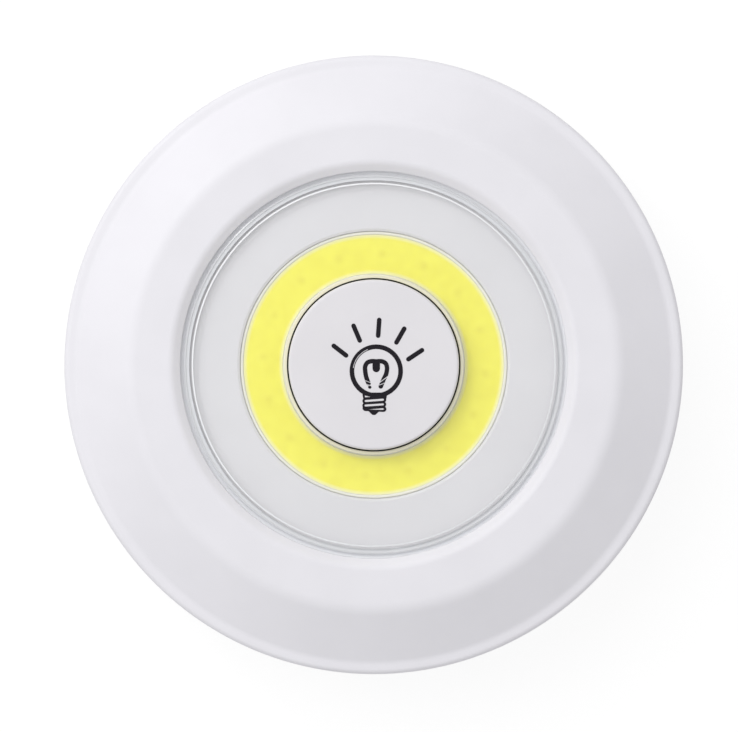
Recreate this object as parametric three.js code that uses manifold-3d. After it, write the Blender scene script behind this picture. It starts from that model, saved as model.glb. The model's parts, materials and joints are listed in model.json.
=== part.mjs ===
// A round battery light for the underside of a cabinet. A ring of LEDs shines through a clear annular lens
// round a push button. The head twists off its mounting plate, which is stuck up with a foam pad, to reach
// three AAA cells. Millimetres. The origin is the centre of the foam pad's outer face, and +Z is the way
// that the light shines.

import * as THREE from "three";
import { mergeVertices } from "three/addons/utils/BufferGeometryUtils.js";
import Module from "manifold-3d";

// Fits and facets
const seatGap = 0.3;
const slideGap = 0.3;
const twistGap = 0.3;
const castGap = 0.1;
const cutOverrun = 1;
const ringSegments = 48;
const midSegments = 32;
const smallSegments = 12;
const screwSegments = 10;
const cornerSteps = 3;
const arcDivisions = 2;

// Mounting plate and its foam pad
const padRadius = 28;
const padThickness = 1;
const padRecess = 0.4;
const plateThickness = 2;
const plateSetback = 1.2;
const plateChamfer = 0.5;
const ringWall = 1.4;
const ringHeight = 4.4;
const lugReach = 2.1;
const lugThickness = 1.7;
const lugAngle = 24;
const lugCount = 3;
const mountHoleRadius = 2;
const mountHeadRadius = 3.7;
const mountSinkDepth = 1.2;
const mountAngles = [0, 180];

// Front housing
const housingWall = 1.8;
const rimGap = 0.4;
const rimDraft = 0.4;
const rimChamfer = 0.3;
const lipWidth = 1.65;
const lipRound = 0.8;
const coneSlope = 27.5;
const bezelFlat = 5;
const shoulderRound = 3.7;
const openingWall = 0.9;
const openingChamfer = 1.3;
const locatingWall = 1;
const locatingDepth = 1.2;
const ledgeLift = 0.2;
const ledgeAngle = 30;
const stopAngle = 2.5;
const bossRadius = 3;
const bossClearance = 1;
const bossAngles = [55, 125, 235, 305];
const bossRibThickness = 1.2;
const bossRibLift = 1;
const carrierBossRadius = 2.8;

// Battery tray and cells
const trayFloorGap = 0.6;
const trayRimGap = 0.5;
const trayThickness = 1.4;
const trayWall = 1.2;
const trayShoulder = 4;
const trayCorner = 2;
const cupRadius = 3.6;
const cupMargin = 1.3;
const cupDepth = 2.2;
const cupFloor = 1.2;
const cellDiameter = 10.5;
const cellLength = 44.5;
const cellNubRadius = 1.9;
const cellNubHeight = 0.8;
const cellEdge = 0.5;
const cellCount = 3;
const cellSpacing = 0.4;
const cellLift = 0.1;
const cellSegments = 16;
const pocketDivisions = 6;

// Contacts and springs
const contactThickness = 0.4;
const contactInset = 0.75;
const contactStrip = 3;
const tailWidth = 3;
const tailClearance = 0.4;
const springRoom = 5.2;
const springWire = 0.5;
const springInset = 0.5;
const springTipRadius = 1.9;
const springTurns = 3;
const springStepsPerTurn = 8;
const springSides = 5;

// Circuit board and wires
const boardRadius = 17;
const boardThickness = 1;
const wireDiameter = 0.8;
const wireGap = 0.2;
const wireSides = 8;
const wireSteps = 8;
const wireLanding = 3;
const wireDriftShares = [1, 0.9, 0.6, 0.5];
const ledWireSpacing = 4;
const postRadius = 2.2;
const postMargin = 0.4;
const postAngles = [45, 225];

// Push switch
const switchWidth = 6.2;
const switchHeight = 3.1;
const switchCoverThickness = 0.3;
const stemRadius = 1.7;
const stemMargin = 0.2;
const stemCollar = 0.5;
const stemCollarHeight = 0.4;
const switchCorner = 0.5;

// Push button
const buttonRadius = 12.04;
const buttonGap = 0.26;
const buttonProud = 0.2;
const buttonCap = 1.2;
const buttonEdge = 0.3;
const skirtWall = 0.9;
const buttonTravel = 0.7;
const hookThickness = 0.7;
const hookAngle = 16;
const hookAngles = [30, 150, 270];
const notchAngle = 22;
const buttonBossMargin = 0.9;
const buttonRibHeight = 0.6;
const buttonRibThickness = 0.8;
const buttonRibAngles = [0, 90, 180, 270];

// Light engine: LED board, dams, phosphor, reflector, lens and their carrier
const guideWall = 0.9;
const guideHeadroom = 0.5;
const carrierFloor = 1;
const carrierRimWidth = 2.6;
const earRadius = 3;
const earAngles = [90, 210, 330];
const cobThickness = 1;
const cobBorder = 1.6;
const cobTabReach = 3;
const cobTabWidth = 9;
const phosphorWidth = 5.45;
const phosphorThickness = 0.6;
const damWidth = 0.45;
const damHeight = 0.7;
const reflectorThickness = 1;
const reflectorLip = 0.25;
const reflectorChamfer = 0.4;
const lensThickness = 1.2;
const lensBorder = 7.3;
const lensRimWidth = 0.65;
const lensRimHeight = 0.2;
const lensEdge = 0.15;
const flangeWidth = 2.3;
const flangeThickness = 0.5;
const grooveWidth = 1.1;
const lensRecess = 1.2;

// Screws: radii and heights of their shanks and heads
const screwGap = 0.3;
const pilotExtra = 0.5;
const coarseShank = 0.9;
const fineShank = 0.7;
const trayScrewLength = 8;
const trayScrewHead = 2;
const trayScrewHeadHeight = 1.3;
const carrierScrewLength = 3;
const carrierScrewHead = 1.9;
const carrierScrewHeadHeight = 1.1;
const boardScrewLength = 2.6;
const boardScrewHead = 1.5;
const boardScrewHeadHeight = 0.8;

// Small parts on the board
const chipLength = 4.9;
const chipWidth = 3.9;
const chipHeight = 1.4;
const transistorLength = 2.9;
const transistorWidth = 1.3;
const transistorHeight = 1;
const resistorLength = 2;
const resistorWidth = 1.25;
const resistorHeight = 0.5;
const capacitorLength = 3.2;
const capacitorWidth = 1.6;
const capacitorHeight = 1.2;

// Heights of the stack, from the pad's outer face towards the light
const plateLow = padThickness - padRecess;
const plateTop = plateLow + plateThickness;
const ringTop = plateTop + ringHeight;
const lugLow = ringTop - lugThickness;
const rimLow = plateTop + rimGap;
const ledgeLow = rimLow + ledgeLift;
const ledgeTop = lugLow - twistGap;
const trayLow = plateTop + trayFloorGap;
const trayTop = trayLow + trayThickness;
const cupTop = trayTop + cupDepth;
const cupSeat = cupTop - cupFloor;
const cellRadius = cellDiameter / 2;
const cellAxis = trayLow + cellLift + cellRadius;
const pocketRadius = cellRadius + seatGap;
const contactRadius = cellRadius - contactInset;
const springBaseRadius = contactRadius - springInset;
const wellTop = cellAxis + pocketRadius;
const trayCeiling = wellTop + trayWall;
const boardLow = trayCeiling + wireDiameter + 2 * wireGap;
const boardTop = boardLow + boardThickness;
const carrierLow = boardTop + wireDiameter + 2 * wireGap;
const carrierTop = carrierLow + carrierFloor;
const cobTop = carrierTop + cobThickness;
const reflectorTop = cobTop + reflectorThickness;
const flangeTop = reflectorTop + flangeThickness;
const lensTop = reflectorTop + lensThickness;
const bezelTop = lensTop + lensRecess;
const capTop = bezelTop + buttonProud;
const capLow = capTop - buttonCap;
const guideTop = capLow - buttonTravel - guideHeadroom;
const switchTop = boardTop + switchHeight;
const stemTop = switchTop + switchCoverThickness + buttonTravel + stemMargin;
const notchTop = carrierTop + hookThickness;
const hookTop = notchTop - slideGap;
const hookLow = hookTop - hookThickness;
const collarTop = switchTop - slideGap;
const collarLow = collarTop - stemCollarHeight;
const stemWellLow = collarLow - buttonTravel - slideGap;

// Radii from the button outwards
const guideOuter = buttonRadius - castGap;
const guideInner = guideOuter - guideWall;
const skirtOuter = guideInner - slideGap;
const skirtInner = skirtOuter - skirtWall;
const hookOuter = guideOuter - slideGap;
const cobInner = guideOuter + seatGap;
const lensInner = buttonRadius + buttonGap;
const phosphorInner = lensInner + lensRimWidth;
const phosphorOuter = phosphorInner + phosphorWidth;
const cobOuter = phosphorOuter + cobBorder;
const lensRadius = phosphorOuter + lensBorder;
const flangeOuter = lensRadius + flangeWidth;
const openingRadius = lensRadius + grooveWidth;
const bezelInner = openingRadius + openingChamfer;
const bezelOuter = bezelInner + bezelFlat;
const locatingInner = flangeOuter + seatGap;
const earRing = locatingInner + carrierBossRadius + castGap;
const postRing = boardRadius - postRadius - postMargin;

// Radii from the screw bosses outwards, through the bayonet to the outer wall
const bossRing = flangeOuter + bossClearance + bossRadius;
const trayRadius = bossRing + cupRadius + cupMargin;
const ringInner = trayRadius + trayRimGap;
const ringOuter = ringInner + ringWall;
const mountRing = (padRadius + seatGap + ringInner) / 2;
const ledgeInner = ringOuter + twistGap;
const lugOuter = ringOuter + lugReach;
const housingInner = lugOuter + twistGap;
const bodyRadius = housingInner + housingWall;
const lipInner = bodyRadius - lipWidth;
const plateRadius = bodyRadius - plateSetback;

// The bezel's shoulder is an arc that runs into the cone, and the cone falls to the lip
const coneTilt = THREE.MathUtils.degToRad(coneSlope);
const coneInner = bezelOuter + shoulderRound * Math.sin(coneTilt);
const coneTop = bezelTop - shoulderRound * (1 - Math.cos(coneTilt));
const lipTop = coneTop - (lipInner - coneInner) * Math.tan(coneTilt);

// Battery well
const cellPitch = cellDiameter + cellSpacing;
const wellLength = cellLength + springRoom + seatGap + 2 * contactThickness;
const wellEnd = wellLength / 2;
const contactFace = wellEnd - contactThickness;
const wellWidth = (cellCount - 1) * cellPitch + 2 * pocketRadius;
const trayBoxWidth = wellWidth + 2 * trayWall;
const trayBoxLength = wellLength + 2 * trayWall;
const cellPlaces = Array.from({ length: cellCount }, (_, i) => ((cellCount - 1) / 2 - i) * cellPitch);

const trayScrew = {
  shank: coarseShank,
  length: trayScrewLength,
  head: trayScrewHead,
  headHeight: trayScrewHeadHeight,
};
const carrierScrew = {
  shank: coarseShank,
  length: carrierScrewLength,
  head: carrierScrewHead,
  headHeight: carrierScrewHeadHeight,
};
const boardScrew = {
  shank: fineShank,
  length: boardScrewLength,
  head: boardScrewHead,
  headHeight: boardScrewHeadHeight,
};

// Sizes along X, Y and Z, and the place of the middle as shares of the room within the button's skirt
const chipSize = [chipWidth, chipLength, chipHeight];
const transistorSize = [transistorWidth, transistorLength, transistorHeight];
const resistorSize = [resistorLength, resistorWidth, resistorHeight];
const turnedResistorSize = [resistorWidth, resistorLength, resistorHeight];
const capacitorSize = [capacitorLength, capacitorWidth, capacitorHeight];
const turnedCapacitorSize = [capacitorWidth, capacitorLength, capacitorHeight];
const boardParts = [
  { name: "control_chip", size: chipSize, placeShares: [0.64, 0], finish: "chip" },
  { name: "driver_transistor", size: transistorSize, placeShares: [-0.64, 0], finish: "chip" },
  { name: "resistor_1", size: resistorSize, placeShares: [0, 0.56], finish: "resistor" },
  { name: "resistor_2", size: resistorSize, placeShares: [0, 0.8], finish: "resistor" },
  { name: "resistor_3", size: turnedResistorSize, placeShares: [-0.5, -0.54], finish: "resistor" },
  { name: "capacitor_1", size: capacitorSize, placeShares: [0.05, -0.66], finish: "capacitor" },
  { name: "capacitor_2", size: turnedCapacitorSize, placeShares: [-0.52, 0.5], finish: "capacitor" },
];

// Colour, roughness and metalness of each finish
const finishes = {
  shell: [0xefeef1, 0.42, 0],
  button: [0xe6e4e8, 0.45, 0],
  innerPlastic: [0xe4e4e6, 0.55, 0],
  reflector: [0xe3e2e7, 0.6, 0],
  clear: [0xf4f8fa, 0.08, 0],
  phosphor: [0xf6ee74, 0.5, 0],
  silicone: [0xf4f4f2, 0.6, 0],
  aluminium: [0xd8d9da, 0.35, 0.9],
  foam: [0xf2f2f0, 0.9, 0],
  circuit: [0x1f6b3a, 0.5, 0],
  chip: [0x1c1c1e, 0.5, 0],
  resistor: [0x26262a, 0.5, 0],
  capacitor: [0xb08a5c, 0.5, 0],
  blackPlastic: [0x222224, 0.5, 0],
  steel: [0xb9bbbe, 0.3, 1],
  sleeve: [0x3c4b5a, 0.35, 0.3],
  wireRed: [0xb3231f, 0.5, 0],
  wireBlack: [0x1b1b1c, 0.5, 0],
};

const wasm = await Module();
wasm.setup();

// A closed mesh as a solid that can be joined and cut.
function solid(geometry) {
  const bare = geometry.clone();
  bare.deleteAttribute("normal");
  bare.deleteAttribute("uv");
  const merged = mergeVertices(bare);
  const index = merged.index.array;
  const kept = [];
  for (let i = 0; i < index.length; i += 3) {
    const [a, b, c] = [index[i], index[i + 1], index[i + 2]];
    if (a !== b && b !== c && c !== a) kept.push(a, b, c);
  }
  const vertProperties = new Float32Array(merged.attributes.position.array);
  return new wasm.Manifold(new wasm.Mesh({ numProp: 3, vertProperties, triVerts: new Uint32Array(kept) }));
}

// A solid back as geometry.
function geometryOf(body) {
  const mesh = body.getMesh();
  const geometry = new THREE.BufferGeometry();
  geometry.setAttribute("position", new THREE.BufferAttribute(new Float32Array(mesh.vertProperties), 3));
  geometry.setIndex(new THREE.BufferAttribute(new Uint32Array(mesh.triVerts), 1));
  geometry.computeVertexNormals();
  return geometry;
}

function join(...geometries) {
  return geometries.map(solid).reduce((whole, next) => whole.add(next));
}

function cut(body, ...cutters) {
  return cutters.reduce((rest, cutter) => rest.subtract(solid(cutter)), body);
}

// A profile of [radius, height] points turned about the Z axis.
function revolve(profile, segments = ringSegments) {
  const points = profile.map(([radius, height]) => new THREE.Vector2(radius, height));
  if (THREE.ShapeUtils.isClockWise(points)) points.reverse();
  const onAxis = points[0].x === 0 && points[points.length - 1].x === 0;
  if (!onAxis) points.push(points[0].clone());
  return new THREE.LatheGeometry(points, segments).rotateX(Math.PI / 2);
}

// A flat ring with square edges.
function ring(inner, outer, low, high, segments = ringSegments) {
  return revolve([[inner, low], [outer, low], [outer, high], [inner, high]], segments);
}

// Points of a round corner in a profile, from one angle to the other, in degrees.
function corner(centreRadius, centreHeight, radius, from, to) {
  return Array.from({ length: cornerSteps + 1 }, (_, i) => {
    const angle = THREE.MathUtils.degToRad(from + ((to - from) * i) / cornerSteps);
    return [centreRadius + radius * Math.cos(angle), centreHeight + radius * Math.sin(angle)];
  });
}

// A flat shape given a thickness between two heights.
function slab(shape, low, high, curveSegments = arcDivisions) {
  const options = { depth: high - low, bevelEnabled: false, curveSegments };
  return new THREE.ExtrudeGeometry(shape, options).translate(0, 0, low);
}

// An upright round rod at a place.
function rod(radius, low, high, [x, y] = [0, 0], segments = smallSegments) {
  const geometry = new THREE.CylinderGeometry(radius, radius, high - low, segments);
  return geometry.rotateX(Math.PI / 2).translate(x, y, (low + high) / 2);
}

// Part of a ring between two angles, in degrees.
function sector(inner, outer, from, to, low, high) {
  const [start, end] = [THREE.MathUtils.degToRad(from), THREE.MathUtils.degToRad(to)];
  const shape = new THREE.Shape();
  shape.absarc(0, 0, outer, start, end, false);
  shape.absarc(0, 0, inner, end, start, true);
  return slab(shape, low, high);
}

// A straight rib that runs outwards at an angle, in degrees.
function radialRib(inner, outer, thickness, angle, low, high) {
  const rib = new THREE.BoxGeometry(outer - inner, thickness, high - low);
  rib.translate((inner + outer) / 2, 0, (low + high) / 2);
  return rib.rotateZ(THREE.MathUtils.degToRad(angle));
}

function polar(radius, angle) {
  const turn = THREE.MathUtils.degToRad(angle);
  return [radius * Math.cos(turn), radius * Math.sin(turn)];
}

function evenAngles(count) {
  return Array.from({ length: count }, (_, i) => (360 * i) / count);
}

// A square with its corners cut off, about the origin.
function clippedSquare(width, clip) {
  const half = width / 2;
  const shape = new THREE.Shape();
  shape.moveTo(half, clip - half);
  shape.lineTo(half, half - clip);
  shape.lineTo(half - clip, half);
  shape.lineTo(clip - half, half);
  shape.lineTo(-half, half - clip);
  shape.lineTo(-half, clip - half);
  shape.lineTo(clip - half, -half);
  shape.lineTo(half - clip, -half);
  return shape;
}

// A rectangle with round corners, about the origin.
function roundedRectangle(length, width, radius) {
  const [x, y] = [length / 2, width / 2];
  const shape = new THREE.Shape();
  shape.absarc(x - radius, y - radius, radius, 0, Math.PI / 2, false);
  shape.absarc(radius - x, y - radius, radius, Math.PI / 2, Math.PI, false);
  shape.absarc(radius - x, radius - y, radius, Math.PI, 1.5 * Math.PI, false);
  shape.absarc(x - radius, radius - y, radius, 1.5 * Math.PI, 2 * Math.PI, false);
  return shape;
}

// A shape drawn in Y and Z, given a thickness along X.
function slabAlongX(shape, from, to, curveSegments = pocketDivisions) {
  const options = { depth: to - from, bevelEnabled: false, curveSegments };
  const geometry = new THREE.ExtrudeGeometry(shape, options);
  return geometry.rotateX(Math.PI / 2).rotateZ(Math.PI / 2).translate(from, 0, 0);
}

function adhesivePad() {
  return ring(0, padRadius, 0, padThickness, midSegments);
}

// The plate with its ring wall and the lugs that the head hooks over.
function basePlate() {
  const recessRadius = padRadius + seatGap;
  const plate = revolve([
    [0, padThickness],
    [recessRadius, padThickness],
    [recessRadius, plateLow],
    [plateRadius - plateChamfer, plateLow],
    [plateRadius, plateLow + plateChamfer],
    [plateRadius, plateTop],
    [ringOuter, plateTop],
    [ringOuter, ringTop],
    [ringInner, ringTop],
    [ringInner, plateTop],
    [0, plateTop],
  ]);
  const rootRadius = ringOuter - ringWall / 2;
  const lugs = evenAngles(lugCount).map((angle) =>
    sector(rootRadius, lugOuter, angle - lugAngle / 2, angle + lugAngle / 2, lugLow, ringTop)
  );
  const holes = mountAngles.map((angle) => mountHole(polar(mountRing, angle)));
  return geometryOf(cut(join(plate, ...lugs), ...holes));
}

// A hole for a screw that can hold the plate beside its pad, sunk for the screw's head.
function mountHole([x, y]) {
  const hole = revolve(
    [
      [0, plateLow - cutOverrun],
      [mountHoleRadius, plateLow - cutOverrun],
      [mountHoleRadius, plateTop - mountSinkDepth],
      [mountHeadRadius, plateTop],
      [mountHeadRadius, plateTop + cutOverrun],
      [0, plateTop + cutOverrun],
    ],
    smallSegments
  );
  return hole.translate(x, y, 0);
}

// The shell is its outer form less its cavity, in which bosses, ribs and ledges stay standing.
function frontHousing() {
  const lipCorner = corner(bodyRadius - lipRound, lipTop - lipRound, lipRound, 0, 90);
  const shoulder = corner(bezelOuter, bezelTop - shoulderRound, shoulderRound, 90 - coneSlope, 90);
  const outerForm = revolve([
    [0, rimLow],
    [bodyRadius - rimDraft - rimChamfer, rimLow],
    [bodyRadius - rimDraft, rimLow + rimChamfer],
    ...lipCorner,
    [lipInner, lipTop],
    ...shoulder,
    [0, bezelTop],
  ]);
  const cavity = revolve([
    [0, rimLow - cutOverrun],
    [housingInner, rimLow - cutOverrun],
    [housingInner, lipTop - housingWall],
    [lipInner - housingWall / 2, lipTop - housingWall],
    [bezelOuter, flangeTop],
    [0, flangeTop],
  ]);
  const opening = revolve([
    [0, rimLow],
    [openingRadius, rimLow],
    [openingRadius, flangeTop + openingWall],
    [bezelInner, bezelTop],
    [bezelInner, bezelTop + cutOverrun],
    [0, bezelTop + cutOverrun],
  ]);
  const hollow = solid(cavity).subtract(join(...housingFeatures()));
  const shell = solid(outerForm).subtract(hollow);
  return geometryOf(cut(shell, opening, ...housingPilots()));
}

function housingFeatures() {
  const ribLow = ringTop + bossRibLift;
  const locatingLow = flangeTop - locatingDepth;
  const features = [ring(locatingInner, locatingInner + locatingWall, locatingLow, bezelTop)];
  for (const angle of bossAngles) {
    features.push(rod(bossRadius, cupTop, bezelTop, polar(bossRing, angle)));
    features.push(radialRib(bossRing, bodyRadius, bossRibThickness, angle, ribLow, bezelTop));
  }
  for (const angle of earAngles) {
    features.push(rod(carrierBossRadius, carrierTop, bezelTop, polar(earRing, angle)));
  }
  for (const angle of evenAngles(lugCount)) {
    const [from, to] = [angle - ledgeAngle / 2, angle + ledgeAngle / 2];
    features.push(sector(ledgeInner, bodyRadius, from, to, ledgeLow, ledgeTop));
    features.push(sector(ledgeInner, bodyRadius, to - stopAngle, to, ledgeLow, ringTop));
  }
  return features;
}

function housingPilots() {
  const trayPilot = trayScrew.shank + screwGap;
  const carrierPilot = carrierScrew.shank + screwGap;
  const trayPilotTop = cupSeat + trayScrew.length + pilotExtra;
  const carrierPilotTop = carrierLow + carrierScrew.length + pilotExtra;
  return [
    ...bossAngles.map((angle) => rod(trayPilot, cupSeat, trayPilotTop, polar(bossRing, angle))),
    ...earAngles.map((angle) => rod(carrierPilot, carrierLow, carrierPilotTop, polar(earRing, angle))),
  ];
}

function lens() {
  return revolve([
    [lensInner, reflectorTop],
    [flangeOuter, reflectorTop],
    [flangeOuter, flangeTop],
    [lensRadius, flangeTop],
    [lensRadius, lensTop - lensEdge],
    [lensRadius - lensEdge, lensTop],
    [phosphorInner, lensTop],
    [phosphorInner, lensTop + lensRimHeight],
    [lensInner, lensTop + lensRimHeight],
  ]);
}

// The reflector is rebated underneath, where its lip covers the outer dam.
function reflectorRing() {
  const lipStart = phosphorOuter + castGap;
  const rebate = phosphorOuter + castGap + damWidth + seatGap;
  return revolve([
    [rebate, cobTop],
    [flangeOuter, cobTop],
    [flangeOuter, reflectorTop],
    [lipStart + reflectorChamfer, reflectorTop],
    [lipStart, reflectorTop - reflectorLip / 2],
    [lipStart, reflectorTop - reflectorLip],
    [rebate, reflectorTop - reflectorLip],
  ]);
}

function phosphorRing() {
  return ring(phosphorInner + castGap, phosphorOuter - castGap, cobTop, cobTop + phosphorThickness);
}

function dam(inner) {
  const [middle, crown] = [inner + damWidth / 2, cobTop + damHeight];
  return revolve([
    [inner, cobTop],
    [inner + damWidth, cobTop],
    [middle + damWidth / 4, crown],
    [middle - damWidth / 4, crown],
  ]);
}

// The ring board has a tab for the two wires.
function cobBoard() {
  const half = Math.asin(cobTabWidth / 2 / cobOuter);
  const shape = new THREE.Shape();
  shape.absarc(0, 0, cobOuter, half - Math.PI / 2, 1.5 * Math.PI - half, false);
  shape.lineTo(-cobTabWidth / 2, -cobOuter - cobTabReach);
  shape.lineTo(cobTabWidth / 2, -cobOuter - cobTabReach);
  const bore = new THREE.Path();
  bore.absarc(0, 0, cobInner, 0, 2 * Math.PI, true);
  shape.holes.push(bore);
  return slab(shape, carrierTop, cobTop, ringSegments / 2);
}

// A dish that carries the LED board, with the button's guide, three ears and two posts for the board.
function ledCarrier() {
  const dish = revolve([
    [guideInner, carrierLow],
    [flangeOuter, carrierLow],
    [flangeOuter, cobTop],
    [flangeOuter - carrierRimWidth, cobTop],
    [flangeOuter - carrierRimWidth, carrierTop],
    [guideOuter, carrierTop],
    [guideOuter, guideTop],
    [guideInner, guideTop],
  ]);
  const ears = earAngles.flatMap((angle) => [
    rod(earRadius, carrierLow, carrierTop, polar(earRing, angle)),
    radialRib(flangeOuter - carrierRimWidth, earRing, 2 * earRadius, angle, carrierLow, carrierTop),
  ]);
  const posts = postAngles.map((angle) => rod(postRadius, boardTop, carrierTop, polar(postRing, angle)));
  const notches = hookAngles.map((angle) =>
    sector(
      guideInner - cutOverrun,
      guideOuter,
      angle - notchAngle / 2,
      angle + notchAngle / 2,
      carrierLow - cutOverrun,
      notchTop
    )
  );
  const earHoles = earAngles.map((angle) =>
    rod(carrierScrew.shank + screwGap, carrierLow - cutOverrun, cobTop, polar(earRing, angle))
  );
  const postHoles = postAngles.map((angle) =>
    rod(boardScrew.shank + screwGap, boardTop - cutOverrun, cobTop, polar(postRing, angle))
  );
  const wireHoles = ledWirePlaces().map((place) =>
    rod(wireDiameter / 2 + wireGap, carrierLow - cutOverrun, cobTop, place)
  );
  return geometryOf(cut(join(dish, ...ears, ...posts), ...notches, ...earHoles, ...postHoles, ...wireHoles));
}

function ledWirePlaces() {
  const y = -cobOuter - cobTabReach / 2;
  return [[ledWireSpacing / 2, y], [-ledWireSpacing / 2, y]];
}

function mainBoard() {
  const board = join(rod(boardRadius, boardLow, boardTop, [0, 0], midSegments));
  const holes = postAngles.map((angle) =>
    rod(boardScrew.shank + screwGap, boardLow - cutOverrun, boardTop + cutOverrun, polar(postRing, angle))
  );
  return geometryOf(cut(board, ...holes));
}

// The bought switch: a square body with a well, in which the stem's collar runs under a steel cover.
function switchBody() {
  const body = slab(clippedSquare(switchWidth, switchCorner), boardTop, switchTop);
  const wellRadius = stemRadius + stemCollar + slideGap;
  const well = rod(wellRadius, stemWellLow, switchTop + cutOverrun);
  return geometryOf(cut(join(body), well));
}

function switchCover() {
  const shape = clippedSquare(switchWidth, switchCorner);
  const hole = new THREE.Path();
  hole.absarc(0, 0, stemRadius + slideGap, 0, 2 * Math.PI, true);
  shape.holes.push(hole);
  return slab(shape, switchTop, switchTop + switchCoverThickness, smallSegments / 2);
}

function switchStem() {
  const collarRadius = stemRadius + stemCollar;
  return revolve(
    [
      [0, collarLow],
      [collarRadius, collarLow],
      [collarRadius, collarTop],
      [stemRadius, collarTop],
      [stemRadius, stemTop],
      [0, stemTop],
    ],
    smallSegments
  );
}

function pushButton() {
  const edge = corner(buttonRadius - buttonEdge, capTop - buttonEdge, buttonEdge, 0, 90);
  const cap = revolve([
    [0, capLow],
    [skirtInner, capLow],
    [skirtInner, hookLow],
    [skirtOuter, hookLow],
    [skirtOuter, capLow],
    [buttonRadius, capLow],
    ...edge,
    [0, capTop],
  ]);
  const boss = rod(stemRadius + buttonBossMargin, stemTop, capTop - buttonCap / 2);
  const ribInner = stemRadius + buttonBossMargin / 2;
  const ribOuter = skirtOuter - skirtWall / 2;
  const ribLow = capLow - buttonRibHeight;
  const ribTop = capTop - buttonCap / 2;
  const ribs = buttonRibAngles.map((angle) =>
    radialRib(ribInner, ribOuter, buttonRibThickness, angle, ribLow, ribTop)
  );
  const hookRoot = skirtOuter - skirtWall / 2;
  const hooks = hookAngles.map((angle) =>
    sector(
      hookRoot,
      hookOuter,
      angle - hookAngle / 2,
      angle + hookAngle / 2,
      hookLow,
      hookTop
    )
  );
  return geometryOf(join(cap, boss, ...ribs, ...hooks));
}

// A flange with sunk cups for the screws, and a well whose ceiling follows the cells.
function batteryTray() {
  const flange = ring(0, trayRadius, trayLow, trayTop);
  const box = slab(roundedRectangle(trayBoxLength, trayBoxWidth, trayCorner), trayLow, trayCeiling);
  const boxEnds = slabAlongX(trayBoxSection(), -trayBoxLength / 2, trayBoxLength / 2);
  const cups = bossAngles.map((angle) => rod(cupRadius, trayLow, cupTop, polar(bossRing, angle)));
  const body = join(box).intersect(solid(boxEnds));
  const whole = join(flange, ...cups).add(body);
  const pockets = cellPlaces.map((y) => slabAlongX(pocketSection(y), -wellEnd, wellEnd));
  const cupHollows = bossAngles.flatMap((angle) => [
    rod(cupRadius - trayWall, trayLow - cutOverrun, cupSeat, polar(bossRing, angle)),
    rod(trayScrew.shank + screwGap, trayLow, cupTop + cutOverrun, polar(bossRing, angle)),
  ]);
  return geometryOf(cut(whole, ...pockets, ...cupHollows, ...tailSlots()));
}

// The well's outer section: square at the flange, with round shoulders at the ceiling.
function trayBoxSection() {
  const half = trayBoxWidth / 2;
  const shape = new THREE.Shape();
  shape.moveTo(half, trayLow);
  shape.lineTo(half, trayCeiling - trayShoulder);
  shape.absarc(half - trayShoulder, trayCeiling - trayShoulder, trayShoulder, 0, Math.PI / 2, false);
  shape.absarc(trayShoulder - half, trayCeiling - trayShoulder, trayShoulder, Math.PI / 2, Math.PI, false);
  shape.lineTo(-half, trayLow);
  return shape;
}

// One cell's pocket: open downwards, with a half-round ceiling.
function pocketSection(y) {
  const shape = new THREE.Shape();
  shape.moveTo(y + pocketRadius, trayLow - cutOverrun);
  shape.lineTo(y + pocketRadius, cellAxis);
  shape.absarc(y, cellAxis, pocketRadius, 0, Math.PI, false);
  shape.lineTo(y - pocketRadius, trayLow - cutOverrun);
  return shape;
}

// Slots in the ceiling for the tails of the two end contacts.
function tailSlots() {
  const [first, last] = [cellPlaces[0], cellPlaces[cellCount - 1]];
  const length = contactThickness + seatGap + trayWall / 2;
  return [[1, first], [-1, last]].map(([side, y]) => {
    const slot = new THREE.BoxGeometry(length, tailWidth + 2 * seatGap, trayCeiling + cutOverrun - cellAxis);
    const x = side * (contactFace - seatGap + length / 2);
    return slot.translate(x, y, (trayCeiling + cutOverrun + cellAxis) / 2);
  });
}

// An AAA cell that points up, from its flat end at the origin.
function batteryCell() {
  const shoulder = cellLength - cellNubHeight;
  return revolve(
    [
      [0, 0],
      [cellRadius - cellEdge, 0],
      [cellRadius, cellEdge],
      [cellRadius, shoulder - cellEdge],
      [cellRadius - cellEdge, shoulder],
      [cellNubRadius, shoulder],
      [cellNubRadius, cellLength],
      [0, cellLength],
    ],
    cellSegments
  );
}

// A round contact plate, drawn in Y and Z.
function contactDisc(y) {
  const shape = new THREE.Shape();
  shape.absarc(y, cellAxis, contactRadius, 0, 2 * Math.PI, false);
  return shape;
}

function stripShape(yFrom, yTo, low, high) {
  const shape = new THREE.Shape();
  shape.moveTo(yFrom, low);
  shape.lineTo(yTo, low);
  shape.lineTo(yTo, high);
  shape.lineTo(yFrom, high);
  return shape;
}

// An end contact: a disc with a tail through the tray's ceiling, where its wire is soldered.
function endContact(side, y) {
  const [from, to] = side > 0 ? [contactFace, wellEnd] : [-wellEnd, -contactFace];
  const disc = slabAlongX(contactDisc(y), from, to);
  const tailTop = carrierLow - tailClearance;
  const tail = slabAlongX(stripShape(y - tailWidth / 2, y + tailWidth / 2, cellAxis, tailTop), from, to);
  return geometryOf(join(disc, tail));
}

// A bridge contact: two discs joined by a strip that passes under the ridge between two pockets.
function bridgeContact(side, first, second) {
  const [from, to] = side > 0 ? [contactFace, wellEnd] : [-wellEnd, -contactFace];
  const discs = [first, second].map((y) => slabAlongX(contactDisc(y), from, to));
  const strip = slabAlongX(stripShape(second, first, cellAxis - contactStrip, cellAxis), from, to);
  return geometryOf(join(...discs, strip));
}

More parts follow.
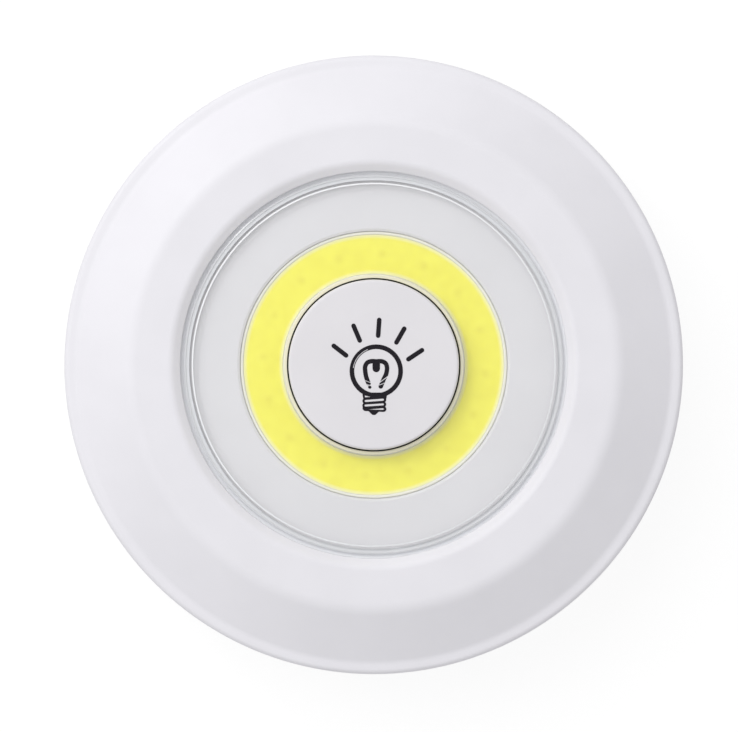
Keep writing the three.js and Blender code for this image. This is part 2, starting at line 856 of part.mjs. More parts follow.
// The wire's centre line in a conical spring that rises from the origin. Its ends stand upright.
function springPath() {
  const bend = springWire;
  const low = seatGap + springWire;
  const high = springRoom - seatGap - springWire;
  const startTurn = Math.asin(bend / springBaseRadius);
  const endTurn = 2 * Math.PI * springTurns;
  const points = [new THREE.Vector3(springBaseRadius, 0, seatGap)];
  for (const angle of [0, Math.PI / 4]) {
    const along = bend - bend * Math.cos(angle);
    points.push(new THREE.Vector3(springBaseRadius, along, low + bend * Math.sin(angle)));
  }
  const steps = springTurns * springStepsPerTurn;
  for (let i = 0; i <= steps; i += 1) {
    const share = i / steps;
    const turn = startTurn + (endTurn - startTurn) * share;
    const radius = springBaseRadius + (springTipRadius - springBaseRadius) * share;
    const height = low + bend + (high - low - 2 * bend) * share;
    points.push(new THREE.Vector3(radius * Math.cos(turn), radius * Math.sin(turn), height));
  }
  for (const angle of [Math.PI / 4, Math.PI / 2]) {
    const along = bend * Math.sin(angle);
    points.push(new THREE.Vector3(springTipRadius, along, high - bend * Math.cos(angle)));
  }
  points.push(new THREE.Vector3(springTipRadius, bend, springRoom - seatGap));
  return points;
}

// The least gap between turns of a wound wire, from the points of its centre line.
function leastSelfGap(points, diameter) {
  let least = Infinity;
  for (let i = 0; i < points.length; i += 1) {
    let along = 0;
    for (let j = i + 1; j < points.length; j += 1) {
      along += points[j].distanceTo(points[j - 1]);
      if (along > Math.PI * springTipRadius) least = Math.min(least, points[i].distanceTo(points[j]));
    }
  }
  return least - diameter;
}

// One unbroken tube through the points, closed at both ends.
function woundTube(points, diameter, sides) {
  const positions = [];
  const index = [];
  const tangentAt = (i) => {
    const [before, after] = [points[Math.max(i - 1, 0)], points[Math.min(i + 1, points.length - 1)]];
    return after.clone().sub(before).normalize();
  };
  let across = new THREE.Vector3(1, 0, 0);
  points.forEach((point, i) => {
    const tangent = tangentAt(i);
    across = across.clone().addScaledVector(tangent, -across.dot(tangent)).normalize();
    const up = tangent.clone().cross(across);
    for (let k = 0; k < sides; k += 1) {
      const angle = (2 * Math.PI * k) / sides;
      const offset = across.clone().multiplyScalar(Math.cos(angle)).addScaledVector(up, Math.sin(angle));
      positions.push(...point.clone().addScaledVector(offset, diameter / 2).toArray());
    }
  });
  for (let i = 0; i < points.length - 1; i += 1) {
    for (let k = 0; k < sides; k += 1) {
      const next = (k + 1) % sides;
      const [a, b, c, d] = [i * sides + k, i * sides + next, (i + 1) * sides + next, (i + 1) * sides + k];
      index.push(a, b, c, a, c, d);
    }
  }
  const last = (points.length - 1) * sides;
  for (let k = 1; k < sides - 1; k += 1) {
    index.push(0, k + 1, k, last, last + k, last + k + 1);
  }
  const geometry = new THREE.BufferGeometry();
  geometry.setAttribute("position", new THREE.Float32BufferAttribute(positions, 3));
  geometry.setIndex(index);
  geometry.computeVertexNormals();
  return geometry;
}

function wire(points) {
  const section = new THREE.Shape();
  section.absarc(0, 0, wireDiameter / 2, 0, 2 * Math.PI, false);
  const path = new THREE.CatmullRomCurve3(points.map((point) => new THREE.Vector3(...point)));
  const options = { extrudePath: path, steps: wireSteps, curveSegments: wireSides / 2, bevelEnabled: false };
  return new THREE.ExtrudeGeometry(section, options);
}

// From an end contact's tail, over the tray's ceiling, to the underside of the board.
function batteryWire(side, y) {
  const lane = trayCeiling + wireGap + wireDiameter / 2;
  const tail = contactFace - seatGap;
  const inBoard = boardRadius - wireLanding;
  const drift = wireDriftShares;
  return wire([
    [side * tail, y, lane + wireDiameter],
    [side * (tail - wireLanding), y * drift[0], lane + wireDiameter / 2],
    [side * ((tail + inBoard) / 2), y * drift[1], lane],
    [side * inBoard, y * drift[2], lane],
    [side * (inBoard - wireLanding), y * drift[3], lane],
  ]);
}

// From the top of the board, out to the LED board's tab, and up through the carrier.
function ledWire([x, y]) {
  const lane = boardTop + wireGap + wireDiameter / 2;
  const bend = wireDiameter;
  return wire([
    [x, wireLanding - boardRadius, lane],
    [x, -boardRadius, lane],
    [x, y + 2 * bend, lane],
    [x, y + bend / 3, lane + bend / 3],
    [x, y, lane + bend],
    [x, y, carrierTop - wireGap],
  ]);
}

// A screw that points up, from the underside of its head's seat at the origin.
function screw({ shank, length, head, headHeight }) {
  return revolve(
    [
      [0, -headHeight],
      [head, -headHeight],
      [head, 0],
      [shank, 0],
      [shank, length - shank],
      [0, length],
    ],
    screwSegments
  );
}

function piece(name, geometry, finish) {
  const [color, roughness, metalness] = finishes[finish];
  const mesh = new THREE.Mesh(geometry, new THREE.MeshStandardMaterial({ color, roughness, metalness }));
  mesh.name = name;
  return mesh;
}

function placed(mesh, [x, y], z) {
  mesh.position.set(x, y, z);
  return mesh;
}

const base = new THREE.Group();
base.add(piece("base_plate", basePlate(), "shell"));
base.add(piece("adhesive_pad", adhesivePad(), "foam"));

const button = new THREE.Group();
button.add(piece("push_button", pushButton(), "button"));
button.add(piece("switch_stem", switchStem(), "blackPlastic"));

const head = new THREE.Group();
head.add(piece("front_housing", frontHousing(), "shell"));
head.add(piece("lens", lens(), "clear"));
head.add(piece("reflector_ring", reflectorRing(), "reflector"));
head.add(piece("phosphor_ring", phosphorRing(), "phosphor"));
head.add(piece("cob_inner_dam", dam(phosphorInner - damWidth), "silicone"));
head.add(piece("cob_outer_dam", dam(phosphorOuter + castGap), "silicone"));
head.add(piece("cob_board", cobBoard(), "aluminium"));
head.add(piece("led_carrier", ledCarrier(), "innerPlastic"));
head.add(piece("main_board", mainBoard(), "circuit"));
head.add(piece("switch_body", switchBody(), "blackPlastic"));
head.add(piece("switch_cover", switchCover(), "steel"));
for (const { name, size, placeShares, finish } of boardParts) {
  const place = placeShares.map((share) => share * skirtInner);
  const [width, depth, height] = size;
  const block = new THREE.BoxGeometry(width, depth, height);
  head.add(placed(piece(name, block, finish), place, boardTop + height / 2));
}

head.add(piece("battery_tray", batteryTray(), "innerPlastic"));
const [cellOne, cellTwo, cellThree] = cellPlaces;
head.add(piece("positive_contact", endContact(1, cellOne), "steel"));
head.add(piece("negative_contact", endContact(-1, cellThree), "steel"));
head.add(piece("bridge_contact_left", bridgeContact(-1, cellOne, cellTwo), "steel"));
head.add(piece("bridge_contact_right", bridgeContact(1, cellTwo, cellThree), "steel"));

// Neighbouring cells point opposite ways, each with its spring at its flat end.
const path = springPath();
console.log(`Least gap in a spring: ${leastSelfGap(path, springWire).toFixed(2)} mm`);
cellPlaces.forEach((y, i) => {
  const side = i % 2 === 0 ? 1 : -1;
  const cell = placed(piece(`battery_cell_${i + 1}`, batteryCell(), "sleeve"), [0, y], cellAxis);
  cell.position.x = side * (contactFace - seatGap - cellLength);
  cell.rotation.y = (side * Math.PI) / 2;
  const spring = piece(`cell_spring_${i + 1}`, woundTube(path, springWire, springSides), "steel");
  placed(spring, [-side * contactFace, y], cellAxis);
  spring.rotation.y = (side * Math.PI) / 2;
  head.add(cell, spring);
});

head.add(piece("battery_wire_red", batteryWire(1, cellOne), "wireRed"));
head.add(piece("battery_wire_black", batteryWire(-1, cellThree), "wireBlack"));
const [redPlace, blackPlace] = ledWirePlaces();
head.add(piece("led_wire_red", ledWire(redPlace), "wireRed"));
head.add(piece("led_wire_black", ledWire(blackPlace), "wireBlack"));

const screwSets = [
  { name: "carrier_screw", size: carrierScrew, pitch: earRing, angles: earAngles, seat: carrierLow },
  { name: "tray_screw", size: trayScrew, pitch: bossRing, angles: bossAngles, seat: cupSeat },
  { name: "board_screw", size: boardScrew, pitch: postRing, angles: postAngles, seat: boardLow },
];
for (const { name, size, pitch, angles, seat } of screwSets) {
  angles.forEach((angle, i) => {
    head.add(placed(piece(`${name}_${i + 1}`, screw(size), "steel"), polar(pitch, angle), seat));
  });
}

head.add(button);
const group = new THREE.Group();
group.add(base, head);
export default group;
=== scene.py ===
"""The looks of a round battery push light: moulded shells, clear lens, phosphor ring and printed button.

Shapes are in millimetres: closed profiles of (radius, height, round) points turned about the Z axis.
"""

import json
import math

import bmesh
import bpy
from mathutils import Matrix, Vector


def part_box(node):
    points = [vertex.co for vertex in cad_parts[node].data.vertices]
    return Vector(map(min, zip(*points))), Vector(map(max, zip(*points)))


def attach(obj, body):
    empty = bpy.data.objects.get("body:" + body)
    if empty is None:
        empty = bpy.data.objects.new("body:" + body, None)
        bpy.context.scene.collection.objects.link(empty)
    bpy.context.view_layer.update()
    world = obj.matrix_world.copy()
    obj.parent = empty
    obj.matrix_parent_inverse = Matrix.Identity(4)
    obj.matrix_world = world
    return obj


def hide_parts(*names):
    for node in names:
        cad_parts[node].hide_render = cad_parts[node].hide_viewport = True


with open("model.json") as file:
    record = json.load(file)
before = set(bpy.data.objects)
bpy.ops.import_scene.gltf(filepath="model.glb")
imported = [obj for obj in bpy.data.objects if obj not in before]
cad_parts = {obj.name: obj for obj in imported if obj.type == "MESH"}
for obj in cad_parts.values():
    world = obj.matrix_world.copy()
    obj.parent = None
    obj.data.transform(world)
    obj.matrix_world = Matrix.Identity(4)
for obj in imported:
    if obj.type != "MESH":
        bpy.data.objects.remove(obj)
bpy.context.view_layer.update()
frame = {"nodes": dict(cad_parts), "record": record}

MM = 0.001
RING_STEPS = 192
SMALL_STEPS = 48
ROUND_STEPS = 6
LONGEST_ROUND = 0.42
SUPPORT_SHARE = 0.15
SHARP_ANGLE = math.radians(32)
WELD_DISTANCE = 1e-7
MERGE_DISTANCE = 1e-6
ON_AXIS = 1e-6
OVERRUN = 1.0


# Sizes, from the frame

def reach(cad_node):
    """Outer radius, lowest height and highest height of a CAD node, in millimetres."""
    low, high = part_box(cad_node)
    return high.x / MM, low.z / MM, high.z / MM


BODY_RADIUS, RIM_LOW, BEZEL_TOP = reach("front_housing")
FLANGE_RADIUS, LENS_LOW, LENS_RIM_TOP = reach("lens")
REFLECTOR_RADIUS, BOARD_FACE, REFLECTOR_TOP = reach("reflector_ring")
PHOSPHOR_LOW, PHOSPHOR_TOP = reach("phosphor_ring")[1:]
OUTER_DAM_RADIUS, DAM_LOW, DAM_TOP = reach("cob_outer_dam")
INNER_DAM_RADIUS = reach("cob_inner_dam")[0]
CAP_RADIUS, HOOK_LOW, CAP_TOP = reach("push_button")
PLATE_RADIUS, PLATE_LOW, PLATE_RING_TOP = reach("base_plate")
PAD_RADIUS, PAD_LOW, PAD_TOP = reach("adhesive_pad")

# Housing
HOUSING_WALL = 1.8
RIM_DRAFT = 0.4
RIM_ROUND = 0.35
RIM_INNER_ROUND = 0.2
LIP_WIDTH = 1.65
LIP_ROUND = 0.8
LIP_BLEND = 1.8
LIP_FALL = 0.15
CONE_SLOPE = math.radians(27.5)
BEZEL_FLAT = 5.0
BEZEL_ROUND = 3.7
BEZEL_EDGE_ROUND = 1.6
OPENING_CHAMFER = 1.2
OPENING_WALL = 1.0
OPENING_ROUND = 0.3
OPENING_FOOT_ROUND = 0.1
GROOVE_WIDTH = 1.1
SEAT_ROUND = 0.5
CEILING_ROUND = 1.0
CORNER_ROUND = 0.6

# Lens
LENS_THICKNESS = 1.2
LENS_BORDER = 2.3
LENS_EDGE = FLANGE_RADIUS - LENS_BORDER
FLANGE_THICKNESS = 0.5
FLANGE_TOP = LENS_LOW + FLANGE_THICKNESS
FLANGE_ROUND = 0.08
LENS_RIM_WIDTH = 0.42
LENS_RIM_ROUND = 0.06
LENS_RIM_FOOT_ROUND = 0.04
LENS_BEVEL_START = 0.7
LENS_BEVEL_WIDTH = 0.22
LENS_BEVEL_DROP = 0.088
LENS_BEVEL_ROUND = 0.1
LENS_SLIT_WIDTH = 0.14
LENS_SLIT_FLOOR = 0.3
LENS_SLIT_RISE = 0.34
LENS_STEP_WIDTH = 0.2
LENS_STEP_HEIGHT = 0.5
LENS_STEP_FALL = 0.08
LENS_STEP_BEVEL = 0.12
LENS_STEP_ROUND = 0.05
LENS_CREST_ROUND = 0.03
LENS_GAP = 0.21
FILM_GAP = 0.03
FROSTED_BELOW = 0.95
# Painted light on the lens's frosted faces: a yellow bounce tint by the inner rim, and painted shade from
# the slit over the step
RIM_BOUNCE_BLEND = 1.0
SLIT_SHADE_BLEND = 0.1
STEP_SHADE_BLEND = 0.15
STEP_POLISH = (0.6, 0.9)
STEP_OUTER = LENS_EDGE + LENS_SLIT_RISE + LENS_STEP_WIDTH
OPENING_RADIUS = LENS_EDGE + GROOVE_WIDTH

# Silicone beads, set in from the CAD dams, and the reflector beside them
INNER_BEAD_RADIUS = INNER_DAM_RADIUS - 0.34
INNER_BEAD_WIDTH = 0.56
OUTER_BEAD_RADIUS = OUTER_DAM_RADIUS - 0.43
OUTER_BEAD_WIDTH = 0.47
BEAD_ROUND = 0.22
REFLECTOR_GAP = 0.03
REFLECTOR_REBATE = 0.3
REFLECTOR_ROUND = 0.1
REFLECTOR_EDGE = 0.36
REFLECTOR_EDGE_ROUND = 0.03
REFLECTOR_CHAMFER = 0.35
REFLECTOR_CHAMFER_DROP = 0.15

# Phosphor and LED dies
PHOSPHOR_INNER = INNER_BEAD_RADIUS
PHOSPHOR_OUTER = OUTER_BEAD_RADIUS - OUTER_BEAD_WIDTH
PHOSPHOR_SEAM = 0.01
PHOSPHOR_COLUMNS = 40
PHOSPHOR_TURNS = 384
FADE_WIDTH = 0.6
MENISCUS = 0.07
MENISCUS_WIDTH = 0.3
DIE_COUNT = 16
DIE_START = math.radians(18.3)
DIE_RING = 15.4
DIE_BUMP = 0.05
DIE_RADIUS = 0.55
DIE_SPOT = 1.5 * DIE_RADIUS

# Button
CAP_THICKNESS = 1.2
CAP_OUTER = CAP_RADIUS - 0.24
CAP_EDGE_ROUND = 0.38
CAP_FOOT_ROUND = 0.12
CAP_CROWN = 0.05
CROWN_KNEE = 0.6
CROWN_KNEE_FALL = 0.35
CROWN_ROUND = 8.0
SKIRT_OUTER = 10.74
SKIRT_WALL = 0.9
SKIRT_ROUND = 0.15
SKIRT_INNER_ROUND = 0.3
SKIRT_OUTER_ROUND = 0.2
INK_DEPTH = 0.05
INK_PROUD = 0.02
CAP_CENTRE = CAP_TOP - INK_PROUD
# Painted shade: the carrier is painted near black under the gap round the button, out to this radius
GAP_SHADE_RADIUS = 12.3
GAP_SHADE_BLEND = 0.2

# Plate
PLATE_THICKNESS = 2.0
PLATE_EDGE_ROUND = 0.5
PLATE_TOP_ROUND = 0.2
PAD_RECESS = 0.4
PAD_GAP = 0.3
PAD_ROUND = 0.12
RECESS_ROUND = 0.1
RING_WALL = 1.4
RING_OUTER = 38.8
RING_ROUND = 0.25
RING_FOOT_ROUND = 0.3
LUG_ANGLE = math.radians(24)
LUG_THICKNESS = 1.7
LUG_REACH = 2.1
LUG_COUNT = 3
MOUNT_HOLE_RADIUS = 2.0
MOUNT_HEAD_RADIUS = 3.7
MOUNT_SINK_DEPTH = 1.2

# Inside of the housing and of the button
PILOT_RADIUS = 1.2
BOSS_RING = 32.0
BOSS_ANGLES = (55, 125, 235, 305)
BOSS_RADIUS = 3.0
BOSS_LOW = 6.8
BOSS_PILOT_TOP = 14.1
BOSS_RIB = 1.2
BOSS_RIB_LOW = 8.0
EAR_RING = 31.2
EAR_ANGLES = (90, 210, 330)
EAR_RADIUS = 2.8
EAR_LOW = 19.7
LOCATING_INNER = 28.3
LOCATING_WALL = 1.0
LOCATING_DEPTH = 1.2
LOCATING_ROUND = 0.15
LEDGE_INNER = 39.1
LEDGE_LOW = 3.2
LEDGE_TOP = 5.0
LEDGE_ANGLE = math.radians(30)
STOP_ANGLE = math.radians(2.5)
BUTTON_BOSS_RADIUS = 2.6
BUTTON_RIBS = 4
BUTTON_RIB = 0.8
BUTTON_RIB_HEIGHT = 0.6
BUTTON_RIB_INNER = 2.15
HOOK_ANGLE = math.radians(16)
HOOK_ANGLES = (30, 150, 270)
HOOK_OUTER = 11.64
HOOK_HEIGHT = 0.7

# Cells, springs and wires
CELL_RADIUS = 5.25
CELL_LENGTH = 44.5
CELL_NUB_RADIUS = 1.9
CELL_NUB_HEIGHT = 0.8
CELL_NUB_ROUND = 0.3
CELL_NUB_FOOT_ROUND = 0.2
CELL_EDGE_ROUND = 0.5
SLEEVE_THICKNESS = 0.12
SLEEVE_LIP = 0.9
SPRING_WIRE = 0.5
SPRING_TIP_RADIUS = 1.9
SPRING_TURNS = 3.75
SPRING_FLAT_TURNS = 0.4
SPRING_STEPS = 40
SPRING_SIDES = 12
WIRE_DIAMETER = 0.8
WIRE_SIDES = 16
BATTERY_WIRE = (
    (24.7, 10.9, 16.7), (21.7, 10.9, 16.3), (19.35, 9.81, 15.9), (14.0, 6.54, 15.9), (11.0, 5.45, 15.9),
)
LED_WIRE_RISE = ((1.6, 18.1), (0.27, 18.37), (0.0, 18.9), (0.0, 19.5))
LED_WIRE_START = -14.0
LED_WIRE_BEND = -17.0

# Screws: (kind, count, shank's radius and length, head's radius and height, pitch), and shares of these
SCREWS = (
    ("tray", 4, 0.9, 8.0, 2.0, 1.3, 0.8),
    ("carrier", 3, 0.9, 3.0, 1.9, 1.1, 0.8),
    ("board", 2, 0.7, 2.6, 1.5, 0.8, 0.6),
)
SCREW_TURN = 0.7
HEAD_PROFILE = ((0, -1), (0.5, -1, 0.4), (0.93, -0.62, 0.3), (1, 0, 0.12))
SHANK_ROOT = 0.6
SHANK_ROOT_RISE = 0.4
CROSS_REACH = 0.5
CROSS_WIDTH = 0.24
CROSS_DEPTH = 0.6
THREAD_CORE = 0.68
THREAD_FLANK = 0.28
THREAD_STEPS = 24
THREAD_ROWS = 8


# Profiles and meshes

def polar(radius, angle):
    return radius * math.cos(angle), radius * math.sin(angle)


def even_angles(count, start=0.0):
    return [start + math.tau * k / count for k in range(count)]


def arc_points(centre, start, end):
    """Points of the shorter arc between two points about a centre."""
    first, last = start - centre, end - centre
    turn = first.angle_signed(last)
    turns = [-turn * i / ROUND_STEPS for i in range(ROUND_STEPS + 1)]
    return [centre + Matrix.Rotation(angle, 2) @ first for angle in turns]


def rounded(profile):
    """The points of a closed profile, with each corner that has a round turned into an arc."""
    corners = [(Vector(point[:2]), point[2] if len(point) > 2 else 0) for point in profile]
    points = []
    for i, (corner, radius) in enumerate(corners):
        if not radius:
            points.append(corner)
            continue
        to_before = corners[i - 1][0] - corner
        to_after = corners[(i + 1) % len(corners)][0] - corner
        half = to_before.angle(to_after) / 2
        longest = LONGEST_ROUND * min(to_before.length, to_after.length)
        back, ahead = to_before.normalized(), to_after.normalized()
        reach_back = min(radius / math.tan(half), longest)
        radius = reach_back * math.tan(half)
        start = corner + back * reach_back
        end = corner + ahead * reach_back
        centre = corner + (back + ahead).normalized() * (radius / math.sin(half))
        support = SUPPORT_SHARE * reach_back
        points.append(start + back * support)
        points.extend(arc_points(centre, start, end))
        points.append(end + ahead * support)
    return points


def new_object(name, mesh):
    piece = bpy.data.objects.new(name, mesh)
    bpy.context.scene.collection.objects.link(piece)
    return piece


def smooth(mesh):
    """Outward normals, with creases only where the form has them."""
    work = bmesh.new()
    work.from_mesh(mesh)
    bmesh.ops.remove_doubles(work, verts=work.verts, dist=WELD_DISTANCE)
    bmesh.ops.recalc_face_normals(work, faces=work.faces)
    work.to_mesh(mesh)
    work.free()
    mesh.polygons.foreach_set("use_smooth", [True] * len(mesh.polygons))
    mesh.set_sharp_from_angle(angle=SHARP_ANGLE)
    return mesh


def new_mesh(name, work):
    mesh = bpy.data.meshes.new(name)
    work.to_mesh(mesh)
    work.free()
    return mesh


def smooth_object(name, work):
    return new_object(name, smooth(new_mesh(name, work)))


def vertex(work, radius, angle, height):
    return work.verts.new((*polar(radius * MM, angle), height * MM))


def bridge(work, rings):
    """Faces between each closed ring and the next one, or between a ring and a pole."""
    for here, there in zip(rings, rings[1:]):
        for k in range(len(here)):
            following = (k + 1) % len(here)
            corners = dict.fromkeys([here[k], here[following], there[following], there[k]])
            if len(corners) > 2:
                work.faces.new(list(corners))


def lathe(name, profile, steps=RING_STEPS):
    """A closed profile turned about the Z axis."""
    work = bmesh.new()
    rings = []
    for radius, height in rounded(profile):
        if radius < ON_AXIS:
            rings.append([vertex(work, 0, 0, height)] * steps)
        else:
            rings.append([vertex(work, radius, turn, height) for turn in even_angles(steps)])
    bridge(work, rings + rings[:1])
    return smooth_object(name, work)


def prism(outline, low, high):
    """A flat outline given a thickness between two heights."""
    work = bmesh.new()
    bottom = [work.verts.new((x * MM, y * MM, low * MM)) for x, y in outline]
    top = [work.verts.new((x * MM, y * MM, high * MM)) for x, y in outline]
    work.faces.new(bottom[::-1])
    work.faces.new(top)
    bridge(work, [bottom, top])
    return smooth_object("prism", work)


def sector(inner, outer, middle, spread, low, high, steps=24):
    """Part of a flat ring, about a middle angle."""
    angles = [middle + spread * (k / steps - 0.5) for k in range(steps + 1)]
    outline = [polar(outer, angle) for angle in angles]
    outline += [polar(inner, angle) for angle in angles[::-1]]
    return prism(outline, low, high)


def shifted(piece, x, y):
    piece.data.transform(Matrix.Translation((x * MM, y * MM, 0)))
    return piece


def rod(radius, low, high, place, top_radius=None):
    """An upright round rod or cone at a place."""
    profile = [(0, low), (radius, low), (top_radius or radius, high), (0, high)]
    return shifted(lathe("rod", profile, SMALL_STEPS), *place)


def radial_rib(inner, outer, thickness, angle, low, high):
    """An upright rib that runs outwards at an angle."""
    along = Vector(polar(1, angle))
    across = Vector((-along.y, along.x)) * (thickness / 2)
    start, end = along * inner, along * outer
    return prism([start - across, end - across, end + across, start + across], low, high)


def heading(line, i):
    """The direction of a line at one of its points."""
    return (line[min(i + 1, len(line) - 1)] - line[max(i - 1, 0)]).normalized()


def sweep(name, points, diameter, sides):
    """One round tube through the points, closed at both ends."""
    work = bmesh.new()
    across = None
    rings = []
    for i, point in enumerate(points):
        tangent = heading(points, i)
        across = across or tangent.orthogonal()
        across = (across - tangent * across.dot(tangent)).normalized()
        up = tangent.cross(across)
        offsets = [across * math.cos(a) + up * math.sin(a) for a in even_angles(sides)]
        rings.append([work.verts.new((point + offset * (diameter / 2)) * MM) for offset in offsets])
    bridge(work, rings)
    work.faces.new(rings[0][::-1])
    work.faces.new(rings[-1])
    return smooth_object(name, work)


def combine(piece, operation, others):
    """Joins the other pieces to this one or cuts them from it, and removes them."""
    for other in others:
        modifier = piece.modifiers.new(operation.title(), "BOOLEAN")
        modifier.operation = operation
        modifier.solver = "MANIFOLD"
        modifier.object = other
    bpy.context.view_layer.update()
    graph = bpy.context.evaluated_depsgraph_get()
    mesh = bpy.data.meshes.new_from_object(piece.evaluated_get(graph))
    piece.modifiers.clear()
    piece.data = smooth(mesh)
    for other in others:
        bpy.data.objects.remove(other)
    return piece


# Materials

def connect(made, links):
    """Sets a node's inputs to values, or links them from other nodes' outputs."""
    for name, source in links.items():
        socket = made.inputs[name]
        if isinstance(source, bpy.types.NodeSocket):
            made.id_data.links.new(source, socket)
        else:
            socket.default_value = source


def node(near, kind, links=None, **values):
    """A node beside another node or socket, or in a tree. A shader node's kind is told in short."""
    made = near.id_data.nodes.new(kind if "Node" in kind else "ShaderNode" + kind)
    for name, value in values.items():
        setattr(made, name, value)
    connect(made, links or {})
    return made


def calc(operation, *values):
    """The result of a maths node, whose first value is another node's output."""
    return node(values[0], "Math", dict(enumerate(values)), operation=operation).outputs[0]


def length_of(vector):
    return node(vector, "VectorMath", {0: vector}, operation="LENGTH").outputs["Value"]


def flat_length(x, y):
    return length_of(node(x, "CombineXYZ", {"X": x, "Y": y}).outputs[0])


def from_axis(place):
    """Distance from the part's axis."""
    parts = node(place, "SeparateXYZ", {"Vector": place}).outputs
    return flat_length(parts["X"], parts["Y"])


def grain(place, size, detail=2.0):
    """Noise whose features are about this many millimetres across."""
    links = {"Vector": place, "Scale": 1 / (size * MM), "Detail": detail}
    return node(place, "TexNoise", links).outputs["Fac"]


def ranged(value, low, high, out_low=0, out_high=1):
    links = {"Value": value, "From Min": low, "From Max": high, "To Min": out_low, "To Max": out_high}
    return node(value, "MapRange", links).outputs["Result"]


def blend(value, first, second):
    """The first tone at 0 and the second at 1. A tone is a colour or another node's output."""
    tones = [tone if isinstance(tone, bpy.types.NodeSocket) else (*tone, 1) for tone in (first, second)]
    links = {"Factor": value, 6: tones[0], 7: tones[1]}
    return node(value, "Mix", links, data_type="RGBA").outputs[2]


def mixed(value, first, second):
    """The first shader at 0 and the second at 1."""
    return node(value, "MixShader", {0: value, 1: first, 2: second}).outputs[0]


def material(name, colour, roughness):
    """A material with one Principled shader, and the object's own coordinates for its textures."""
    made = bpy.data.materials.new(name)
    made.use_nodes = True
    shader = made.node_tree.nodes["Principled BSDF"]
    connect(shader, {"Base Color": (*colour, 1), "Roughness": roughness})
    return made, shader, node(shader, "TexCoord").outputs["Object"]


def vary_colour(shader, value, dark, light):
    """Blends the base colour between two tones by a value from 0 to 1."""
    connect(shader, {"Base Color": blend(value, dark, light)})


def vary_roughness(shader, value, low, high):
    connect(shader, {"Roughness": ranged(value, 0.3, 0.7, low, high)})


def raise_bump(shader, heights):
    """Chains bumps of (value, depth in millimetres) into the shader's normal."""
    chain = {}
    for value, depth in heights:
        links = {"Height": value, "Distance": depth * MM, "Strength": 1.0, **chain}
        chain = {"Normal": node(value, "Bump", links).outputs["Normal"]}
    connect(shader, chain)


def scaled(colour, share):
    return tuple(channel * share for channel in colour)


def moulded(name, colour, roughness, texture, depth):
    """Moulded plastic: cloudy tone, a fine spark-eroded texture, slow waves and a few soft scuffs."""
    made, shader, place = material(name, colour, roughness)
    cloud = ranged(grain(place, 9, 3), 0.35, 0.65)
    vary_colour(shader, cloud, scaled(colour, 0.985), scaled(colour, 1.01))
    scuffs = grain(place, 2.2, 6)
    vary_roughness(shader, scuffs, roughness - 0.05, roughness + 0.06)
    raise_bump(shader, [(grain(place, 14, 1), 0.02), (grain(place, texture, 2), depth)])
    return made


def clear_plastic():
    """Clear plastic that lamps shine through, with faint haze and moulding waves."""
    made, shader, place = material("clear_polycarbonate", (0.99, 0.995, 1.0), 0.03)
    connect(shader, {"Transmission Weight": 1, "IOR": 1.5})
    vary_roughness(shader, grain(place, 3, 4), 0.01, 0.05)
    raise_bump(shader, [(grain(place, 8, 1), 0.01)])
    passing = node(shader, "BsdfTransparent", {"Color": (0.985, 0.99, 0.995, 1)}).outputs[0]
    path = node(shader, "LightPath").outputs
    surface = shader.outputs[0]
    for ray in ("Is Shadow Ray", "Is Diffuse Ray"):
        surface = mixed(path[ray], surface, passing)
    connect(made.node_tree.nodes["Material Output"], {"Surface": surface})
    return made


def phosphor_resin():
    """Phosphor in silicone: yellow with mottling, and a slightly darker spot over each LED die."""
    colour = (0.99, 0.935, 0.088)
    made, shader, place = material("phosphor_resin", colour, 0.42)
    radius = from_axis(place)
    parts = node(place, "SeparateXYZ", {"Vector": place}).outputs
    angle = calc("ADD", calc("ARCTAN2", parts["Y"], parts["X"]), -DIE_START)
    pitch = math.tau / DIE_COUNT
    across = calc("MULTIPLY", calc("WRAP", angle, pitch / 2, -pitch / 2), DIE_RING * MM)
    along = calc("ADD", radius, -DIE_RING * MM)
    off_die = ranged(flat_length(across, along), 0, DIE_SPOT * MM, 0.45, 1)
    mottle = ranged(grain(place, 1.6, 4), 0.35, 0.65, 0.75, 1)
    mottled = blend(calc("MULTIPLY", off_die, mottle), (0.83, 0.74, 0.045), colour)
    middle = (PHOSPHOR_INNER + PHOSPHOR_OUTER) * MM / 2
    half = (PHOSPHOR_OUTER - PHOSPHOR_INNER) * MM / 2
    from_middle = calc("ABSOLUTE", calc("ADD", radius, -middle))
    fade = ranged(from_middle, half - FADE_WIDTH * MM, half, 0, 0.75)
    vary_colour(shader, fade, mottled, (0.95, 0.925, 0.68))
    vary_roughness(shader, grain(place, 0.8, 3), 0.34, 0.5)
    raise_bump(shader, [(grain(place, 2.0, 2), 0.03), (grain(place, 0.09, 2), 0.004)])
    return made


